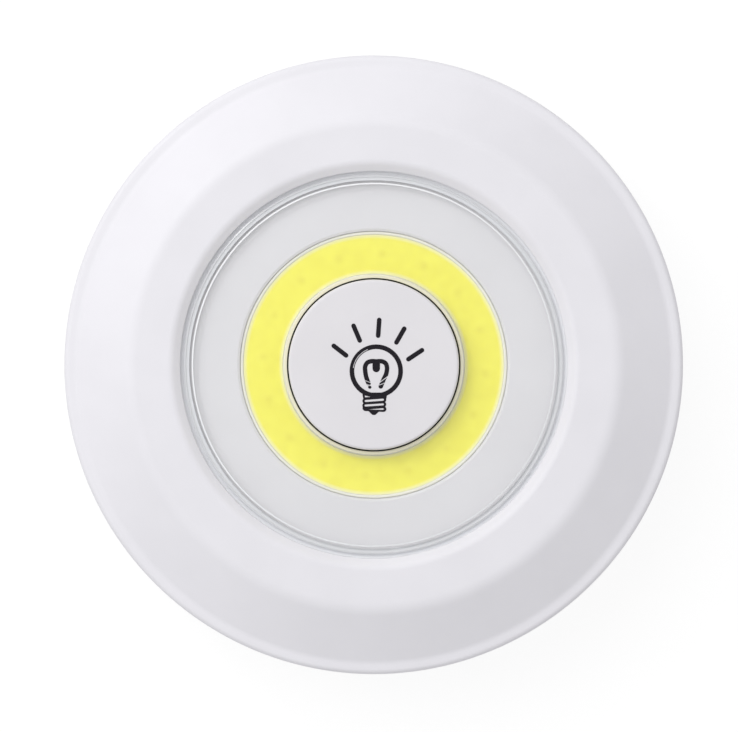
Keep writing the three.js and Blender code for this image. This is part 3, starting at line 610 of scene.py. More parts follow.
def frosted_plastic():
    """The lens's side walls, slit and flange, matt from the mould, and its step's polished top. Its tone
    has painted yellow bounce light by the inner rim and painted shade from the slit over the step.
    """
    colour = (0.88, 0.89, 0.91)
    made, shader, place = material("frosted_polycarbonate", colour, 0.5)
    radius = from_axis(place)
    slit = LENS_EDGE - LENS_SLIT_WIDTH
    # Painted light by radius: the warm tone by the inner rim is painted bounce light from the phosphor,
    # and the darker tones from the slit over the step are painted shade of the groove
    tones = (
        (INNER_DAM_RADIUS, (0.84, 0.81, 0.63)),
        (INNER_DAM_RADIUS + RIM_BOUNCE_BLEND, colour),
        (slit - SLIT_SHADE_BLEND, colour),
        (slit, (0.78, 0.79, 0.81)),
        (STEP_OUTER - LENS_STEP_WIDTH, (0.69, 0.70, 0.72)),
        (STEP_OUTER, (0.67, 0.68, 0.70)),
        (STEP_OUTER + STEP_SHADE_BLEND, colour),
    )
    ramp = node(radius, "ValToRGB", {0: ranged(radius, 0, FLANGE_RADIUS * MM)})
    stops = ramp.color_ramp.elements
    while len(stops) < len(tones):
        stops.new(0)
    for stop, (distance, tone) in zip(stops, tones):
        stop.position = distance / FLANGE_RADIUS
        stop.color = (*tone, 1)
    width = LENS_STEP_WIDTH * MM
    off_step = calc("ABSOLUTE", calc("ADD", radius, width / 2 - STEP_OUTER * MM))
    polish = ranged(off_step, STEP_POLISH[0] * width, STEP_POLISH[1] * width, 0.2, 0.5)
    connect(shader, {"Base Color": ramp.outputs[0], "Roughness": polish})
    raise_bump(shader, [(grain(place, 0.1, 2), 0.001)])
    return made


def carrier_plastic():
    """The inner plastic, with painted shade: near black where the narrow gap round the button ends on it.
    """
    colour = (0.72, 0.72, 0.73)
    made, shader, place = material("white_carrier_plastic", colour, 0.55)
    # Painted shade: near black inside the gap, the plastic's own colour beyond it
    lit_start = GAP_SHADE_RADIUS + GAP_SHADE_BLEND
    unshaded = ranged(from_axis(place), GAP_SHADE_RADIUS * MM, lit_start * MM)
    vary_colour(shader, unshaded, (0.012, 0.012, 0.013), colour)
    vary_roughness(shader, grain(place, 2.2, 6), 0.5, 0.61)
    raise_bump(shader, [(grain(place, 14, 1), 0.02), (grain(place, 0.3, 2), 0.01)])
    return made


def silicone():
    colour = (0.88, 0.865, 0.76)
    made, shader, place = material("white_silicone", colour, 0.45)
    cloud = grain(place, 1.2, 3)
    vary_colour(shader, cloud, scaled(colour, 0.96), colour)
    vary_roughness(shader, grain(place, 0.5, 2), 0.38, 0.52)
    raise_bump(shader, [(grain(place, 1.5, 2), 0.02)])
    return made


def closed_cell_foam():
    """Foam with fine cells, faced with glue."""
    colour = (0.82, 0.82, 0.8)
    made, shader, place = material("closed_cell_foam", colour, 0.75)
    cells = node(place, "TexVoronoi", {"Vector": place, "Scale": 1 / (0.22 * MM)})
    cell_tone = ranged(cells.outputs["Distance"], 0, 0.6)
    vary_colour(shader, cell_tone, scaled(colour, 0.9), colour)
    vary_roughness(shader, grain(place, 4, 3), 0.62, 0.85)
    raise_bump(shader, [(grain(place, 5, 2), 0.05), (cell_tone, 0.05)])
    return made


def printing_ink():
    colour = (0.007, 0.006, 0.009)
    made, shader, place = material("printing_ink", colour, 0.55)
    connect(shader, {"Specular IOR Level": 0.16})
    cover = grain(place, 0.25, 4)
    vary_colour(shader, ranged(cover, 0.3, 0.75), colour, (0.014, 0.012, 0.017))
    vary_roughness(shader, grain(place, 0.4, 3), 0.48, 0.65)
    raise_bump(shader, [(cover, 0.004)])
    return made


def plated_steel(name, colour, roughness, streaks):
    """Plated metal with fine drawing lines along its length."""
    made, shader, place = material(name, colour, roughness)
    connect(shader, {"Metallic": 1})
    stretch = {"Vector": place, "Scale": (1, streaks, streaks)}
    lines = grain(node(place, "Mapping", stretch).outputs[0], 0.6, 3)
    vary_colour(shader, lines, scaled(colour, 0.88), colour)
    vary_roughness(shader, lines, roughness - 0.06, roughness + 0.08)
    raise_bump(shader, [(lines, 0.003)])
    return made


def lacquered_board(name, colour, trace_colour):
    """A circuit board's lacquer, with faint tracks under it."""
    made, shader, place = material(name, colour, 0.35)
    bricks = {"Vector": place, "Scale": 1 / (2.4 * MM), "Mortar Size": 0.06}
    tracks = node(place, "TexBrick", bricks).outputs["Fac"]
    vary_colour(shader, tracks, colour, trace_colour)
    vary_roughness(shader, grain(place, 0.7, 3), 0.28, 0.42)
    raise_bump(shader, [(tracks, 0.02), (grain(place, 0.15, 2), 0.003)])
    return made


def speckled(name, colour, roughness, size):
    """A small part's plain body, with a fine speckle."""
    made, shader, place = material(name, colour, roughness)
    specks = grain(place, size, 4)
    vary_colour(shader, specks, scaled(colour, 0.85), scaled(colour, 1.12))
    vary_roughness(shader, specks, roughness - 0.06, roughness + 0.08)
    raise_bump(shader, [(specks, 0.006)])
    return made


SHELL = moulded("white_satin_shell", (0.81, 0.80, 0.842), 0.4, 0.16, 0.004)
PLATE = moulded("white_matte_plate", (0.80, 0.793, 0.815), 0.5, 0.22, 0.01)
BUTTON = moulded("white_button", (0.760, 0.744, 0.772), 0.45, 0.14, 0.004)
REFLECTOR = moulded("white_reflector", (0.757, 0.742, 0.757), 0.55, 0.2, 0.006)
CLEAR = clear_plastic()
FROSTED = frosted_plastic()
PHOSPHOR = phosphor_resin()
SILICONE = silicone()
FOAM = closed_cell_foam()
INK = printing_ink()
STEEL = plated_steel("zinc_plated_steel", (0.55, 0.56, 0.57), 0.3, 6)
CONTACT = plated_steel("nickel_plated_spring_steel", (0.66, 0.66, 0.64), 0.24, 12)
SLEEVE = speckled("cell_sleeve", (0.05, 0.08, 0.11), 0.3, 1.5)
RED_WIRE = speckled("red_insulation", (0.45, 0.02, 0.015), 0.4, 0.4)
BLACK_WIRE = speckled("black_insulation", (0.012, 0.012, 0.013), 0.4, 0.4)


def dress(piece, body, finish, slot, *nodes):
    """Gives a new piece its finish, its body and the CAD nodes that it stands for."""
    piece.data.materials.clear()
    piece.data.materials.append(finish)
    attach(piece, body)
    if nodes:
        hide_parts(*nodes)
    return piece


# Front housing

def make_housing():
    """The shell, a closed profile from its rim over the bezel into the opening and back inside."""
    bezel_inner = OPENING_RADIUS + OPENING_CHAMFER
    bezel_outer = bezel_inner + BEZEL_FLAT
    lip_inner = BODY_RADIUS - LIP_WIDTH
    cone_start = bezel_outer + BEZEL_ROUND * math.tan(CONE_SLOPE / 2)
    lip_top = BEZEL_TOP - (lip_inner - cone_start) * math.tan(CONE_SLOPE)
    inner = BODY_RADIUS - HOUSING_WALL
    ceiling = lip_top - HOUSING_WALL
    shell = lathe("housing_shell", [
        (inner, RIM_LOW, RIM_INNER_ROUND),
        (BODY_RADIUS - RIM_DRAFT, RIM_LOW, RIM_ROUND),
        (BODY_RADIUS, lip_top - LIP_FALL, LIP_ROUND),
        (lip_inner, lip_top, LIP_BLEND),
        (cone_start, BEZEL_TOP, BEZEL_ROUND),
        (bezel_inner, BEZEL_TOP, BEZEL_EDGE_ROUND),
        (OPENING_RADIUS, FLANGE_TOP + OPENING_WALL, OPENING_ROUND),
        (OPENING_RADIUS, FLANGE_TOP, OPENING_FOOT_ROUND),
        (bezel_outer, FLANGE_TOP, SEAT_ROUND),
        (lip_inner - HOUSING_WALL / 2, ceiling, CEILING_ROUND),
        (inner, ceiling, CORNER_ROUND),
    ])
    combine(shell, "UNION", [housing_features(bezel_outer, lip_inner, ceiling)])
    dress(shell, "head", SHELL, "shell", "front_housing")


def housing_features(bezel_outer, lip_inner, ceiling):
    """Screw bosses with ribs, bayonet ledges with stops and the ring that locates the light engine."""
    sunk = HOUSING_WALL / 2
    inside = BODY_RADIUS - HOUSING_WALL + sunk
    envelope = lathe("envelope", [
        (0, LEDGE_LOW),
        (inside, LEDGE_LOW),
        (inside, ceiling + sunk),
        (lip_inner - sunk, ceiling + sunk),
        (bezel_outer, FLANGE_TOP + sunk),
        (0, FLANGE_TOP + sunk),
    ])
    features = lathe("locating_ring", [
        (LOCATING_INNER, FLANGE_TOP - LOCATING_DEPTH, LOCATING_ROUND),
        (LOCATING_INNER + LOCATING_WALL, FLANGE_TOP - LOCATING_DEPTH, LOCATING_ROUND),
        (LOCATING_INNER + LOCATING_WALL, BEZEL_TOP),
        (LOCATING_INNER, BEZEL_TOP),
    ])
    added, pilots = [], []
    for degrees in BOSS_ANGLES:
        angle = math.radians(degrees)
        place = polar(BOSS_RING, angle)
        added.append(rod(BOSS_RADIUS, BOSS_LOW, BEZEL_TOP, place))
        added.append(radial_rib(BOSS_RING, BODY_RADIUS, BOSS_RIB, angle, BOSS_RIB_LOW, BEZEL_TOP))
        pilots.append(rod(PILOT_RADIUS, BOSS_LOW - OVERRUN, BOSS_PILOT_TOP, place))
    for degrees in EAR_ANGLES:
        place = polar(EAR_RING, math.radians(degrees))
        added.append(rod(EAR_RADIUS, EAR_LOW, BEZEL_TOP, place))
        pilots.append(rod(PILOT_RADIUS, EAR_LOW - OVERRUN, FLANGE_TOP, place))
    for angle in even_angles(LUG_COUNT):
        added.append(sector(LEDGE_INNER, BODY_RADIUS, angle, LEDGE_ANGLE, LEDGE_LOW, LEDGE_TOP))
        stop = angle + (LEDGE_ANGLE - STOP_ANGLE) / 2
        added.append(sector(LEDGE_INNER, BODY_RADIUS, stop, STOP_ANGLE, LEDGE_LOW, PLATE_RING_TOP, 4))
    combine(features, "UNION", added)
    combine(features, "INTERSECT", [envelope])
    return combine(features, "DIFFERENCE", pilots)


def make_lens():
    """The clear lens: raised inner rim, bevelled edge, slit, step and the flange that the bezel holds."""
    inner = CAP_OUTER + LENS_GAP
    rim_outer = inner + LENS_RIM_WIDTH
    slit = LENS_EDGE - LENS_SLIT_WIDTH
    step_inner = STEP_OUTER - LENS_STEP_WIDTH
    step_foot = STEP_OUTER + LENS_STEP_BEVEL
    bevel_inner = LENS_EDGE - LENS_BEVEL_START
    low = LENS_LOW + FILM_GAP
    top = LENS_LOW + LENS_THICKNESS
    bevel_low = top - LENS_BEVEL_DROP
    flange_top = FLANGE_TOP - FILM_GAP
    step_top = flange_top + LENS_STEP_HEIGHT
    step_low = step_top - LENS_STEP_FALL
    profile = [
        (inner, low, FLANGE_ROUND),
        (FLANGE_RADIUS, low, FLANGE_ROUND),
        (FLANGE_RADIUS, flange_top, FLANGE_ROUND),
        (step_foot, flange_top),
        (step_foot, step_low - LENS_STEP_BEVEL),
        (STEP_OUTER, step_low, LENS_STEP_ROUND),
        (step_inner, step_top, LENS_CREST_ROUND),
        (step_inner, step_top - LENS_STEP_BEVEL, LENS_STEP_ROUND),
        (slit, flange_top + LENS_SLIT_FLOOR),
        (slit, bevel_low),
        (bevel_inner + LENS_BEVEL_WIDTH, bevel_low, LENS_BEVEL_ROUND),
        (bevel_inner, top, LENS_BEVEL_ROUND),
        (rim_outer, top, LENS_RIM_FOOT_ROUND),
        (rim_outer, LENS_RIM_TOP, LENS_RIM_ROUND),
        (inner, LENS_RIM_TOP, LENS_RIM_ROUND),
    ]
    lens = dress(lathe("clear_lens", profile), "head", CLEAR, "clear_lens", "lens")
    lens.data.materials.append(FROSTED)
    for face in lens.data.polygons:
        radius = face.center.xy.length / MM
        beside = radius > slit or radius < rim_outer
        face.material_index = int(beside and face.normal.z > 0 or abs(face.normal.z) < FROSTED_BELOW)


def make_reflector():
    """The flat white ring, whose chamfered edge overhangs the outer bead."""
    edge = OUTER_BEAD_RADIUS + REFLECTOR_GAP
    edge_top = REFLECTOR_TOP - REFLECTOR_CHAMFER_DROP
    rebate = OUTER_DAM_RADIUS + REFLECTOR_REBATE
    piece = lathe("reflector_disc", [
        (rebate, BOARD_FACE, REFLECTOR_ROUND),
        (REFLECTOR_RADIUS, BOARD_FACE, REFLECTOR_ROUND),
        (REFLECTOR_RADIUS, REFLECTOR_TOP, REFLECTOR_ROUND),
        (edge + REFLECTOR_CHAMFER, REFLECTOR_TOP, REFLECTOR_ROUND),
        (edge, edge_top, REFLECTOR_EDGE_ROUND),
        (edge, edge_top - REFLECTOR_EDGE, REFLECTOR_EDGE_ROUND),
        (rebate, edge_top - REFLECTOR_EDGE, REFLECTOR_EDGE_ROUND),
    ])
    dress(piece, "head", REFLECTOR, "reflector", "reflector_ring")


def make_phosphor():
    """The phosphor layer climbs a little at both dams and swells over each LED die."""
    inner = PHOSPHOR_INNER + PHOSPHOR_SEAM
    outer = PHOSPHOR_OUTER - PHOSPHOR_SEAM
    dies = even_angles(DIE_COUNT, DIE_START)
    work = bmesh.new()
    sections = []
    for turn in even_angles(PHOSPHOR_TURNS):
        off_die = min((math.remainder(turn - die, math.tau) for die in dies), key=abs)
        section = [(inner, PHOSPHOR_LOW)]
        for i in range(PHOSPHOR_COLUMNS + 1):
            radius = inner + (outer - inner) * i / PHOSPHOR_COLUMNS
            edge = min(radius - inner, outer - radius)
            distance = math.hypot(off_die * DIE_RING, radius - DIE_RING)
            height = PHOSPHOR_TOP - MENISCUS + MENISCUS * math.exp(-edge / MENISCUS_WIDTH)
            height += DIE_BUMP * math.exp(-(distance / DIE_RADIUS) ** 2)
            section.append((radius, height))
        section.append((outer, PHOSPHOR_LOW))
        sections.append([vertex(work, radius, turn, height) for radius, height in section])
    bridge(work, sections + sections[:1])
    layer = smooth_object("phosphor_layer", work)
    dress(layer, "head", PHOSPHOR, "phosphor", "phosphor_ring")


def make_dam(name, outer, width, cad_node):
    """A poured bead, round on top."""
    inner = outer - width
    bead = lathe(name, [
        (inner, DAM_LOW),
        (outer, DAM_LOW),
        (outer, DAM_TOP, BEAD_ROUND),
        (inner, DAM_TOP, BEAD_ROUND),
    ])
    dress(bead, "head", SILICONE, "silicone", cad_node)


# Push button and its printed pictogram

def make_button():
    """The cap with its crown, its skirt and snap hooks, and the ribs and boss that press the switch."""
    low = CAP_TOP - CAP_THICKNESS
    edge_top = CAP_CENTRE - CAP_CROWN
    skirt_inner = SKIRT_OUTER - SKIRT_WALL
    cap = lathe("button_cap", [
        (0, low),
        (skirt_inner, low, SKIRT_INNER_ROUND),
        (skirt_inner, HOOK_LOW, SKIRT_ROUND),
        (SKIRT_OUTER, HOOK_LOW, SKIRT_ROUND),
        (SKIRT_OUTER, low, SKIRT_OUTER_ROUND),
        (CAP_OUTER, low, CAP_FOOT_ROUND),
        (CAP_OUTER, edge_top, CAP_EDGE_ROUND),
        (CAP_OUTER * CROWN_KNEE, CAP_CENTRE - CAP_CROWN * CROWN_KNEE_FALL, CROWN_ROUND),
        (0, CAP_CENTRE),
    ])
    stem_top = reach("switch_stem")[2]
    root = SKIRT_OUTER - SKIRT_WALL / 2
    middle = low + CAP_THICKNESS / 2
    added = [rod(BUTTON_BOSS_RADIUS, stem_top, middle, (0, 0))]
    rib_low, hook_top = low - BUTTON_RIB_HEIGHT, HOOK_LOW + HOOK_HEIGHT
    for angle in even_angles(BUTTON_RIBS):
        added.append(radial_rib(BUTTON_RIB_INNER, root, BUTTON_RIB, angle, rib_low, middle))
    for degrees in HOOK_ANGLES:
        angle = math.radians(degrees)
        added.append(sector(root, HOOK_OUTER, angle, HOOK_ANGLE, HOOK_LOW, hook_top, 8))
    combine(cap, "UNION", added)
    dress(cap, "button", BUTTON, "button", "push_button")


# The pictogram's drawing, with the bulb's centre at the origin
BULB_PLACE = (0.35, -0.87)
BULB_RADIUS = 3.37
BULB_STROKE = 0.64
RAYS = (
    ((-4.17, 2.17), (-5.88, 3.49)),
    ((-2.28, 4.23), (-3.14, 6.26)),
    ((0.26, 4.9), (0.41, 7.07)),
    ((2.79, 3.97), (3.87, 5.86)),
    ((4.44, 1.64), (6.32, 2.89)),
)
RAY_STROKE = 0.63
LEFT_FILAMENT = (
    (-1.07, -1.7), (-1.22, -1.3), (-1.42, -0.7), (-1.53, 0.05), (-1.53, 0.65), (-1.24, 1.16), (-0.7, 1.36),
    (0, 1.34),
)
RIGHT_FILAMENT = (
    (0.62, -2.12), (0.84, -1.58), (1.06, -1.05), (1.33, -0.5), (1.47, 0.1), (1.47, 0.6), (1.26, 1.1),
    (0.7, 1.36), (0, 1.34),
)
FILAMENT_STROKE = 0.62
FILAMENT_FOOT = ((-0.93, -2.21), (-0.88, -2.23))
FOOT_STROKE = 0.42
FILAMENT_DROP = ((0, 1.0), (0, 0.36))
DROP_STROKE = 1.04
NECK = ((-1.95, -2.97), (1.55, -2.97), (1.38, -3.85), (-1.8, -3.85))
BASE_THREADS = (
    ((-1.52, -4.13), (0.98, -3.95)),
    ((-1.53, -4.76), (0.98, -4.6)),
    ((-1.5, -5.12), (1.0, -5.24)),
)
BASE_THREAD_STROKE = 0.8
CONTACT_TIP = (
    (-1.15, -5.45), (0.65, -5.5), (0.28, -5.68), (0.06, -5.88), (-0.1, -6.02), (-0.32, -6.08),
    (-0.54, -6.03), (-0.72, -5.88), (-0.92, -5.68),
)

# What stays bare within its lines: wedges, and strokes as (line, width)
BARE_WEDGES = (
    ((-1.6, -3.36), (-0.8, -3.57), (-1.55, -3.63)),
    ((-1.15, -5.31), (0.95, -5.36), (1.06, -5.24), (0.95, -5.12)),
)
BARE_STROKES = (
    (((-1.46, -4.13), (0.92, -3.95)), 0.29),
    (((-1.48, -4.76), (0.92, -4.6)), 0.28),
    (((-1.49, -1.33), (-0.65, -1.65)), 0.08),
    (((-1.43, -1.84), (-0.65, -2.04)), 0.1),
    (((0.52, -1.53), (1.81, -0.59)), 0.11),
    (((0.4, -1.93), (1.32, -1.59)), 0.1),
)
BARE_ARC = (3.2, 112, 172)
BARE_ARC_WIDTH = 0.09


def stroke_outline(points, width, cap_steps=8):
    """The outline of a drawn line with round ends."""
    line = [Vector(point) for point in points]
    outline = []
    for way in (line, line[::-1]):
        for i, point in enumerate(way):
            along = heading(way, i)
            outline.append(point + Vector((along.y, -along.x)) * (width / 2))
        end = way[-1]
        side = outline[-1] - end
        outline += [end + Matrix.Rotation(math.pi * k / cap_steps, 2) @ side for k in range(1, cap_steps)]
    return outline


def arc_line(radius, start, end, steps=24):
    """Part of a circle about the origin, between two angles in degrees."""
    return [polar(radius, math.radians(start + (end - start) * k / steps)) for k in range(steps + 1)]


def curve_line(knots, steps=8):
    """A smooth line through the knots."""
    points = [Vector(knot) for knot in (knots[0], *knots, knots[-1])]
    line = []
    for before, start, end, after in zip(points, points[1:], points[2:], points[3:]):
        for k in range(steps):
            t = k / steps
            line.append(0.5 * (
                2 * start
                + (end - before) * t
                + (2 * before - 5 * start + 4 * end - after) * t * t
                + (3 * start - 3 * end + after - before) * t ** 3
            ))
    return line + [points[-1]]


def icon_strokes():
    """The lines of the light bulb: (points, width)."""
    strokes = [(arc_line(BULB_RADIUS, start, start + 180), BULB_STROKE) for start in (90, -90)]
    strokes += [(ray, RAY_STROKE) for ray in RAYS]
    strokes += [(curve_line(knots), FILAMENT_STROKE) for knots in (LEFT_FILAMENT, RIGHT_FILAMENT)]
    strokes += [(FILAMENT_FOOT, FOOT_STROKE), (FILAMENT_DROP, DROP_STROKE)]
    strokes += [(thread, BASE_THREAD_STROKE) for thread in BASE_THREADS]
    return strokes


def make_icon():
    """The printed light bulb, a film of ink that stands just proud of the cap."""
    low = CAP_CENTRE - CAP_CROWN - INK_DEPTH
    inked = [stroke_outline(line, width) for line, width in icon_strokes()] + [NECK, CONTACT_TIP]
    films = [prism(outline, low, CAP_TOP) for outline in inked]
    icon = combine(films[0], "UNION", films[1:])
    bare_lines = (*BARE_STROKES, (arc_line(*BARE_ARC), BARE_ARC_WIDTH))
    bare = [stroke_outline(line, width) for line, width in bare_lines] + list(BARE_WEDGES)
    cutters = [prism(outline, low - OVERRUN, CAP_TOP + OVERRUN) for outline in bare]
    combine(icon, "DIFFERENCE", cutters)
    icon.name = "button_pictogram"
    dress(shifted(icon, *BULB_PLACE), "button", INK, "black_plastic")


# Mounting plate and its foam pad

def make_plate():
    """The plate with its ring wall, three bayonet lugs and two sunk screw holes."""
    plate_top = PLATE_LOW + PLATE_THICKNESS
    recess = PAD_RADIUS + PAD_GAP
    ring_inner = RING_OUTER - RING_WALL
    plate = lathe("mounting_plate", [
        (0, PLATE_LOW + PAD_RECESS),
        (recess, PLATE_LOW + PAD_RECESS, RECESS_ROUND),
        (recess, PLATE_LOW, RECESS_ROUND),
        (PLATE_RADIUS, PLATE_LOW, PLATE_EDGE_ROUND),
        (PLATE_RADIUS, plate_top, PLATE_TOP_ROUND),
        (RING_OUTER, plate_top, RING_FOOT_ROUND),
        (RING_OUTER, PLATE_RING_TOP, RING_ROUND),
        (ring_inner, PLATE_RING_TOP, RING_ROUND),
        (ring_inner, plate_top, RING_FOOT_ROUND),
        (0, plate_top),
    ])
    lug_inner, lug_low = RING_OUTER - RING_WALL / 2, PLATE_RING_TOP - LUG_THICKNESS
    lugs = [
        sector(lug_inner, RING_OUTER + LUG_REACH, angle, LUG_ANGLE, lug_low, PLATE_RING_TOP)
        for angle in even_angles(LUG_COUNT)
    ]
    combine(plate, "UNION", lugs)
    mount_ring = (recess + ring_inner) / 2
    sink_low = plate_top - MOUNT_SINK_DEPTH
    cutters = []
    for place in ((-mount_ring, 0), (mount_ring, 0)):
        cutters.append(rod(MOUNT_HOLE_RADIUS, PLATE_LOW - OVERRUN, plate_top + OVERRUN, place))
        cutters.append(rod(MOUNT_HOLE_RADIUS, sink_low, plate_top, place, top_radius=MOUNT_HEAD_RADIUS))
    combine(plate, "DIFFERENCE", cutters)
    # Flat faces keep a flat shade beside their rounds
    plate.modifiers.new("Weighted normals", "WEIGHTED_NORMAL").keep_sharp = True
    dress(plate, "base", PLATE, "base_shell", "base_plate")


def make_pad():
    pad = lathe("foam_pad", [
        (0, PAD_LOW),
        (PAD_RADIUS, PAD_LOW, PAD_ROUND),
        (PAD_RADIUS, PAD_TOP, PAD_ROUND),
        (0, PAD_TOP),
    ])
    dress(pad, "base", FOAM, "foam", "adhesive_pad")


# Cells, springs, wires and screws

def lay(piece, cad_node, side):
    """Turns an upright piece to point along X, to one side, from the end where its CAD node starts."""
    low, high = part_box(cad_node)
    start = Vector((low.x if side > 0 else high.x, (low.y + high.y) / 2, (low.z + high.z) / 2))
    piece.data.transform(Matrix.Translation(start) @ Matrix.Rotation(side * math.pi / 2, 4, "Y"))
    return piece


def make_cell(number, side):
    """A steel can with its nub, in a shrink sleeve that laps over both ends."""
    cad_node = f"battery_cell_{number}"
    shoulder = CELL_LENGTH - CELL_NUB_HEIGHT
    can_radius = CELL_RADIUS - SLEEVE_THICKNESS
    can_top = shoulder - SLEEVE_THICKNESS
    lap = CELL_RADIUS - SLEEVE_LIP
    can = [
        (0, SLEEVE_THICKNESS),
        (can_radius, SLEEVE_THICKNESS, CELL_EDGE_ROUND),
        (can_radius, can_top, CELL_EDGE_ROUND),
        (CELL_NUB_RADIUS, can_top, CELL_NUB_FOOT_ROUND),
        (CELL_NUB_RADIUS, CELL_LENGTH, CELL_NUB_ROUND),
        (0, CELL_LENGTH),
    ]
    sleeve = [
        (lap, 0),
        (CELL_RADIUS, 0, CELL_EDGE_ROUND),
        (CELL_RADIUS, shoulder, CELL_EDGE_ROUND),
        (lap, shoulder),
        (lap, can_top),
        (can_radius, can_top, CELL_EDGE_ROUND),
        (can_radius, SLEEVE_THICKNESS, CELL_EDGE_ROUND),
        (lap, SLEEVE_THICKNESS),
    ]
    steel = lay(lathe(f"cell_can_{number}", can, SMALL_STEPS), cad_node, side)
    dress(steel, "head", STEEL, "steel")
    wrap = lay(lathe(f"cell_sleeve_{number}", sleeve, SMALL_STEPS), cad_node, side)
    dress(wrap, "head", SLEEVE, "cell_sleeve", cad_node)


def make_spring(number, side):
    """A conical spring: a flat turn on the contact, rising turns, and a flat turn under the cell."""
    cad_node = f"cell_spring_{number}"
    low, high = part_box(cad_node)
    base_radius = (high.y - low.y) / 2 / MM - SPRING_WIRE / 2
    room = (high.x - low.x) / MM - SPRING_WIRE
    points = []
    count = round(SPRING_TURNS * SPRING_STEPS)
    for i in range(count + 1):
        turns = SPRING_TURNS * i / count
        rising = (turns - SPRING_FLAT_TURNS) / (SPRING_TURNS - 2 * SPRING_FLAT_TURNS)
        share = min(max(rising, 0), 1)
        radius = base_radius + (SPRING_TIP_RADIUS - base_radius) * share
        points.append(Vector((*polar(radius, math.tau * turns), SPRING_WIRE / 2 + room * share)))
    spring = sweep(f"coil_spring_{number}", points, SPRING_WIRE, SPRING_SIDES)
    dress(lay(spring, cad_node, side), "head", CONTACT, "contact", cad_node)


def make_wire(cad_node, knots, finish, slot):
    line = curve_line(knots)
    dress(sweep(f"{cad_node}_lead", line, WIRE_DIAMETER, WIRE_SIDES), "head", finish, slot, cad_node)


def make_wires():
    for colour, finish, side in (("red", RED_WIRE, 1), ("black", BLACK_WIRE, -1)):
        knots = [(side * x, side * y, z) for x, y, z in BATTERY_WIRE]
        make_wire(f"battery_wire_{colour}", knots, finish, f"wire_{colour}")
        cad_node = f"led_wire_{colour}"
        low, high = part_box(cad_node)
        x = (low.x + high.x) / 2 / MM
        y = low.y / MM + WIRE_DIAMETER / 2
        lane = LED_WIRE_RISE[0][1]
        knots = [(x, LED_WIRE_START, lane), (x, LED_WIRE_BEND, lane)]
        knots += [(x, y + off, height) for off, height in LED_WIRE_RISE]
        make_wire(cad_node, knots, finish, f"wire_{colour}")


def screw_thread(shank, length, pitch):
    """A shank whose radius rises to its thread's crest once a turn, with a pointed end."""
    core = THREAD_CORE * shank
    rows = round(THREAD_ROWS * length / pitch)
    work = bmesh.new()
    rings = []
    for j in range(rows):
        height = length * j / rows
        slim = min(1, (length - height) / shank)
        taper = min(1, height / pitch) * slim
        ring = []
        for angle in even_angles(THREAD_STEPS):
            phase = (height / pitch - angle / math.tau) % 1
            crest = max(0, 1 - abs(phase - 0.5) / THREAD_FLANK)
            radius = core * slim + (shank - core) * crest * taper
            ring.append(vertex(work, radius, angle, height))
        rings.append(ring)
    rings.append([vertex(work, 0, 0, length)] * THREAD_STEPS)
    bridge(work, rings)
    work.faces.new(rings[0][::-1])
    return smooth_object("thread", work)


def screw_mesh(shank, length, head, head_height, pitch):
    """A pan-head screw with a cross recess, which points up from under its head."""
    root, root_top = SHANK_ROOT * shank, SHANK_ROOT_RISE * pitch
    profile = [(share * head, rise * head_height, *corner) for share, rise, *corner in HEAD_PROFILE]
    pan = lathe("pan", profile + [(root, 0), (root, root_top), (0, root_top)], SMALL_STEPS)
    combine(pan, "UNION", [screw_thread(shank, length, pitch)])
    across, width = CROSS_REACH * head, CROSS_WIDTH * head
    low, high = -head_height - OVERRUN, CROSS_DEPTH * head_height - head_height
    arms = [radial_rib(-across, across, width, angle, low, high) for angle in (0, math.pi / 2)]
    combine(pan, "DIFFERENCE", arms)
    mesh = pan.data
    bpy.data.objects.remove(pan)
    return mesh


def make_screws():
    for kind, count, shank, length, head, head_height, pitch in SCREWS:
        mesh = screw_mesh(shank, length, head, head_height, pitch)
        for i in range(count):
            cad_node = f"{kind}_screw_{i + 1}"
            low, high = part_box(cad_node)
            middle = (low + high) / 2
            place = (middle.x, middle.y, low.z + head_height * MM)
            own = mesh.copy()
            own.transform(Matrix.Translation(place) @ Matrix.Rotation(i * SCREW_TURN, 4, "Z"))
            dress(new_object(f"{cad_node}_threaded", own), "head", STEEL, "steel", cad_node)
        bpy.data.meshes.remove(mesh)


make_housing()
make_lens()
make_reflector()
make_phosphor()
make_dam("inner_dam_bead", INNER_BEAD_RADIUS, INNER_BEAD_WIDTH, "cob_inner_dam")
make_dam("outer_dam_bead", OUTER_BEAD_RADIUS, OUTER_BEAD_WIDTH, "cob_outer_dam")
make_button()
make_icon()
make_plate()
make_pad()
for number, side in ((1, 1), (2, -1), (3, 1)):
    make_cell(number, side)
    make_spring(number, side)
make_wires()
make_screws()

# Carried-over nodes

FINISHES = {
    "inner_plastic": moulded("white_inner_plastic", (0.72, 0.72, 0.73), 0.55, 0.3, 0.01),
    "black_plastic": speckled("black_nylon", (0.012, 0.012, 0.013), 0.5, 0.3),
    "steel": STEEL,
    "contact": CONTACT,
    "led_board": lacquered_board("white_led_board", (0.82, 0.82, 0.83), (0.74, 0.75, 0.76)),
    "circuit_board": lacquered_board("green_circuit_board", (0.015, 0.12, 0.045), (0.03, 0.2, 0.08)),
    "chip": speckled("black_epoxy", (0.015, 0.015, 0.017), 0.5, 0.1),
    "capacitor": speckled("tan_ceramic", (0.42, 0.28, 0.14), 0.4, 0.2),
}
NODE_FINISHES = {"led_carrier": carrier_plastic()}
SOFT_EDGED = ("chip", "capacitor", "black_plastic")
SOFT_EDGE = 0.12


